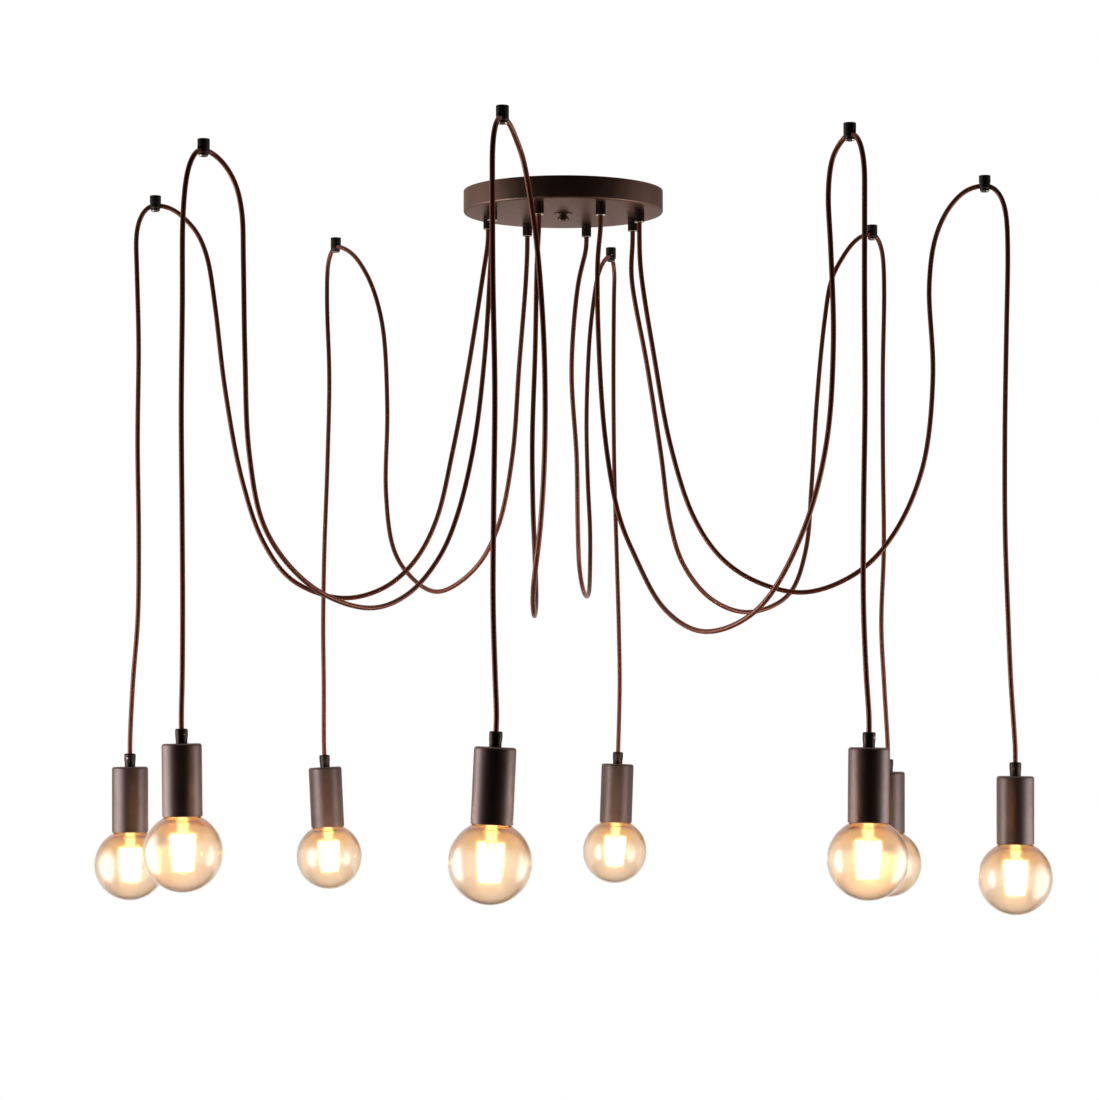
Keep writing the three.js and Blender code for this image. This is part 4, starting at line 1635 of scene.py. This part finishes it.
@dataclass(frozen=True)
class Lamp:
    """A lampholder with its cup and cord collar, set out from the middle of the cup's rim."""

    cup_radius: float = 0.0202
    cup_wall: float = 0.0012
    cup_height: float = 0.0732
    cup_edge: float = 0.0028
    cup_top: float = 0.0015
    cup_rim: float = 0.0004
    cup_sides: int = 96
    collar_radius: float = 0.0064
    collar_taper: float = 0.0005
    collar_top: float = 0.0882
    collar_bore: float = 0.003
    grub_height: float = 0.0098  # above the cup
    grub_radius: float = 0.0016
    grub_depth: float = 0.0012
    grub_turns: tuple[float, ...] = (180, 180, 170, -24, 26, -65, 53, 180)  # degrees from the front
    mouth: float = 0.003
    skirt_radius: float = 0.0186
    mouth_radius: float = 0.0166
    neck_radius: float = 0.012
    thread_radius: float = 0.0136
    contact_height: float = 0.043
    contact_radius: float = 0.004
    fit: float = 0.0002

    def cup(self) -> Mesh:
        """Makes the spun cup.

        Returns:
            The cup.
        """
        full, top, rim = self.cup_radius, self.cup_height, self.cup_rim
        inside, under, hole = full - self.cup_wall, top - self.cup_top, self.collar_radius + self.fit
        corners = [(inside, 0.0, rim), (full, 0.0, rim), (full, top, self.cup_edge), (hole, top)]
        corners += [(hole, under), (inside, under, self.cup_edge - self.cup_wall)]
        return Part().add(lathe(corners, self.cup_sides, True, 8), CUP_BRONZE).mesh()

    def collar(self) -> Mesh:
        """Makes the cord collar with its washer and grub screw.

        Returns:
            The collar.
        """
        full, bore, foot, top = self.collar_radius, self.collar_bore, self.cup_height, self.collar_top
        narrow, washer = full - self.collar_taper, foot - self.cup_top
        corners = [(bore, washer), (narrow, washer), (narrow, foot + 0.003, 0.003)]
        corners += [(full, foot + 0.0085, 0.003), (full, top, 0.0018), (bore, top, 0.0004)]
        place = shifted(0.0, -full, foot + self.grub_height) @ Matrix.Rotation(SQUARE, 4, "X")
        hole = pin(self.grub_radius, -self.grub_depth, 0.001, 32)
        grub = pin(self.grub_radius - 0.0001, -self.grub_depth, 0.0, 32, (0.0, 0.0003))
        part = Part().add(bored(lathe(corners, 72, True, 8), hole, place), COLLAR_BRONZE)
        part.add(bored(grub, slit(0.004, 0.0005, -0.0005, 0.001, 0.00005)), DARK_NICKEL, place)
        return part.mesh()

    def socket(self) -> Mesh:
        """Makes the insulating body with its screw shell and contact.

        Returns:
            The socket.
        """
        skirt, neck, shell = self.skirt_radius, self.neck_radius, self.thread_radius + 0.0004
        seat, roof = self.contact_height + 0.0006, self.contact_height + 0.0038
        top = self.cup_height - self.cup_top - self.fit
        corners = [(0.0, seat), (shell, seat), (shell, 0.0157), (self.mouth_radius, self.mouth, 0.0004)]
        corners += [(skirt, self.mouth, 0.0005), (skirt, roof, 0.001), (neck, roof + 0.0066, 0.001)]
        corners += [(neck, top, 0.0005), (0.0, top)]
        contact = pin(self.contact_radius, self.contact_height + 0.0001, seat, 24, (0.0002, 0.0))
        part = Part().add(lathe(corners, 64), PHENOLIC)
        part.add(thread(self.thread_radius + 0.0003, BULB_PITCH, 0.018, 0.038, 0.0004), BRASS)
        return part.add(contact, BRASS).mesh()

    def build(self, sites: Sequence[Site]) -> None:
        """Makes the pieces of every lamp.

        Args:
            sites: The pendants' sites.
        """
        cup, collar, socket = self.cup(), self.collar(), self.socket()
        for site in sites:
            number, place = site.number, site.lamp_place()
            body = f"pendant_{number}"
            stand(f"cup_{number}", cup, body, Slot.BRONZE, place, f"lamp_cup_{number}")
            stand(f"socket_{number}", socket, body, Slot.PHENOLIC, place, f"lampholder_{number}")
            turn = Matrix.Rotation(math.radians(self.grub_turns[number - 1]), 4, "Z")
            stand(f"collar_{number}", collar, body, Slot.BLACK, place @ turn)


@dataclass(frozen=True)
class Bulb:
    """A globe bulb with its screw cap, stem and lit filaments, set out from the cup's rim."""

    globe_radius: float = 0.04
    globe_end: float = 7.0  # degrees before the shoulder, where the neck's curve starts
    wall: float = 0.001
    shoulder_wall: float = 0.004  # blown glass is thickest where it draws in to its neck
    shoulder_rise: float = 0.54  # share of the outline at which the wall starts to thicken
    shoulder_peak: float = 0.8  # share at which it is thickest
    shoulder_radius: float = 0.018
    shoulder_drop: float = 0.0004
    neck_radius: float = 0.0152
    neck_height: float = 0.0032
    neck_top_radius: float = 0.0124
    neck_top: float = 0.021
    neck_pulls: Pair = (0.45, 0.25)  # of the curve's ends, as shares of its reach
    cap_radius: float = 0.0128
    cap_rib: float = 0.0004
    cap_low: float = 0.0157
    cap_high: float = 0.036
    cap_wall: float = 0.0006
    cap_tip: float = 0.0426
    stem_top: float = 0.0185
    stem_foot: float = -0.0145
    filaments: int = 8
    filament_radius: float = 0.0015
    cage_top: Pair = (0.0106, -0.0165)  # radius and height
    cage_bottom: Pair = (0.0078, -0.0535)
    tab_top: Pair = (0.011, -0.0135)
    tab_bottom: Pair = (0.0075, -0.0555)
    tab_radius: float = 0.0007
    arm: Pair = (0.003, -0.0135)
    foot: Pair = (0.0, -0.0525)
    wire_radius: float = 0.0003
    rod_radius: float = 0.0004
    rod_reach: Pair = (-0.0135, -0.0545)

    def globe_outline(self, inset: float) -> list[Vector]:
        """Outlines the globe and its neck from the bottom up.

        Args:
            inset: How far the outline is drawn in.

        Returns:
            The points of the outline.
        """
        drop = self.shoulder_drop + math.sqrt(self.globe_radius**2 - self.shoulder_radius**2)
        leave = math.acos(self.shoulder_radius / self.globe_radius) - math.radians(self.globe_end)
        outline = arc(Vector((0.0, -drop)), self.globe_radius - inset, -SQUARE, leave, 44)
        start, neck = outline[-1], Vector((self.neck_radius - inset, self.neck_height))
        reach, along = (neck - start).length, Vector((-math.sin(leave), math.cos(leave)))
        rise = Vector((self.neck_top_radius - self.neck_radius, self.neck_top - self.neck_height))
        first = start + along * reach * self.neck_pulls[0]
        second = neck - rise.normalized() * reach * self.neck_pulls[1]
        for t in (step / 12 for step in range(1, 13)):
            near = start * (1 - t) ** 3 + first * (3 * t * (1 - t) ** 2)
            outline.append(near + second * (3 * t * t * (1 - t)) + neck * t**3)
        return [*outline, Vector((self.neck_top_radius - inset, self.neck_top))]

    def glass(self) -> Mesh:
        """Makes the blown glass as one shell, open at the top of its neck.

        Returns:
            The glass.
        """
        outer, thin, thick = map(self.globe_outline, (0.0, self.wall, self.shoulder_wall))
        rise, peak = self.shoulder_rise, self.shoulder_peak
        ways = [index / (len(outer) - 1) for index in range(len(outer))]
        shares = [max(0.0, min((way - rise) / (peak - rise), (1 - way) / (1 - peak))) for way in ways]
        inner = [near.lerp(far, share) for near, far, share in zip(thin, thick, shares)]
        outer[0].x = inner[0].x = 0.0
        return Part().add(turned(outer + inner[::-1], 96), AMBER_GLASS).mesh()

    def cap(self) -> Mesh:
        """Makes the screw cap with its thread, insulator and tip.

        Returns:
            The cap.
        """
        neck, low, high, tip = self.neck_top_radius, self.cap_low, self.cap_high, self.cap_tip
        full, ribbed, under = self.cap_radius, self.cap_radius - self.cap_rib, high - self.cap_wall
        seat, top, foot = high - 0.0002, tip - 0.0016, tip - 0.002
        shell = [(neck + 0.0001, low), (full, low, 0.0003), (ribbed, low + 0.0015), (ribbed, high, 0.0012)]
        shell += [(0.0, high), (0.0, under), (neck - 0.0006, under), (neck + 0.0001, high - 0.002)]
        insulator = [(0.0, seat), (full - 0.002, seat), (0.0048, top, 0.001), (0.0, top)]
        button = [(0.0, foot), (0.0046, foot), (0.004, tip, 0.0012), (0.0, tip)]
        part = Part().add(lathe(shell, 64), NICKEL)
        part.add(thread(ribbed, BULB_PITCH, low + 0.003, high - 0.003, 0.0006), NICKEL)
        return part.add(lathe(insulator, 48), PHENOLIC).add(lathe(button, 32), BRASS).mesh()

    def stem(self) -> Mesh:
        """Makes the glass stem that carries the filaments.

        Returns:
            The stem.
        """
        top, foot = self.stem_top, self.stem_foot
        corners = [(0.0, top), (0.0108, top, 0.0006), (0.0078, 0.009, 0.006), (0.0056, -0.002, 0.004)]
        corners += [(0.0049, foot + 0.003, 0.002), (0.0045, foot, 0.0012), (0.0, foot)]
        return Part().add(lathe(corners, 48), STEM_GLASS).mesh()

    def cage(self) -> Mesh:
        """Makes the filaments with their end tabs and the wires that hold them.

        Returns:
            The cage.
        """
        part = Part()
        for name, start, end, radius, finish in (
            ("filaments", self.cage_top, self.cage_bottom, self.filament_radius, FILAMENT),
            ("upper tabs", self.tab_top, self.cage_top, self.tab_radius, NICKEL),
            ("lower tabs", self.cage_bottom, self.tab_bottom, self.tab_radius, NICKEL),
            ("arms", self.arm, self.tab_top, self.wire_radius, NICKEL),
            ("feet", self.foot, self.tab_bottom, self.wire_radius, NICKEL),
        ):
            part.add(rods(name, self.filaments, start, end, radius), finish)
        rod = [Vector((0.0, 0.0, height)) for height in self.rod_reach]
        return part.add(swept(rod, self.rod_radius, 8), NICKEL).mesh()

    def build(self, sites: Sequence[Site]) -> None:
        """Makes every bulb.

        Args:
            sites: The pendants' sites.
        """
        glass = self.glass()
        fittings = {"bulb_cap": self.cap(), "stem": self.stem(), "filaments": self.cage()}
        for site in sites:
            number, place = site.number, site.lamp_place()
            body = f"screwed_bulb_{number}"
            stand(f"globe_{number}", glass, body, Slot.GLASS, place, f"bulb_{number}")
            for name, mesh in fittings.items():
                stand(f"{name}_{number}", mesh, body, None, place)


@dataclass
class PendantLight:
    """The whole light: its sites, and the sub-assemblies that stand on them."""

    joints: dict[str, dict[str, Any]]
    cord: Cord = field(default_factory=Cord)
    canopy: Canopy = field(default_factory=Canopy)
    hook: Hook = field(default_factory=Hook)
    lamp: Lamp = field(default_factory=Lamp)
    bulb: Bulb = field(default_factory=Bulb)

    def build(self) -> None:
        """Makes every piece, the cords first."""
        sites = [Site.read(number, self.joints) for number in range(1, len(ROUTES) + 1)]
        cores = self.cord.cores()
        for site, route in zip(sites, ROUTES):
            self.cord.build(site, route, cores)
        self.canopy.build(sites)
        hook = self.hook.mesh(-sites[0].hook.z + self.cord.mouth_drop / 2)
        for site in sites:
            name, node = f"cord_hook_{site.number}", f"ceiling_hook_{site.number}"
            stand(name, hook, "ceiling", Slot.BLACK, site.hook_place(), node)
        self.lamp.build(sites)
        self.bulb.build(sites)


def main() -> None:
    """Loads the frame, sets up the studio and builds the light."""
    logging.basicConfig(level=logging.INFO, format="%(name)s: %(message)s")
    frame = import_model()
    studio = Studio()
    studio.camera()
    PendantLight({joint["name"]: joint for joint in frame["joints"]}).build()
    studio.build()


if __name__ == "__main__":
    main()
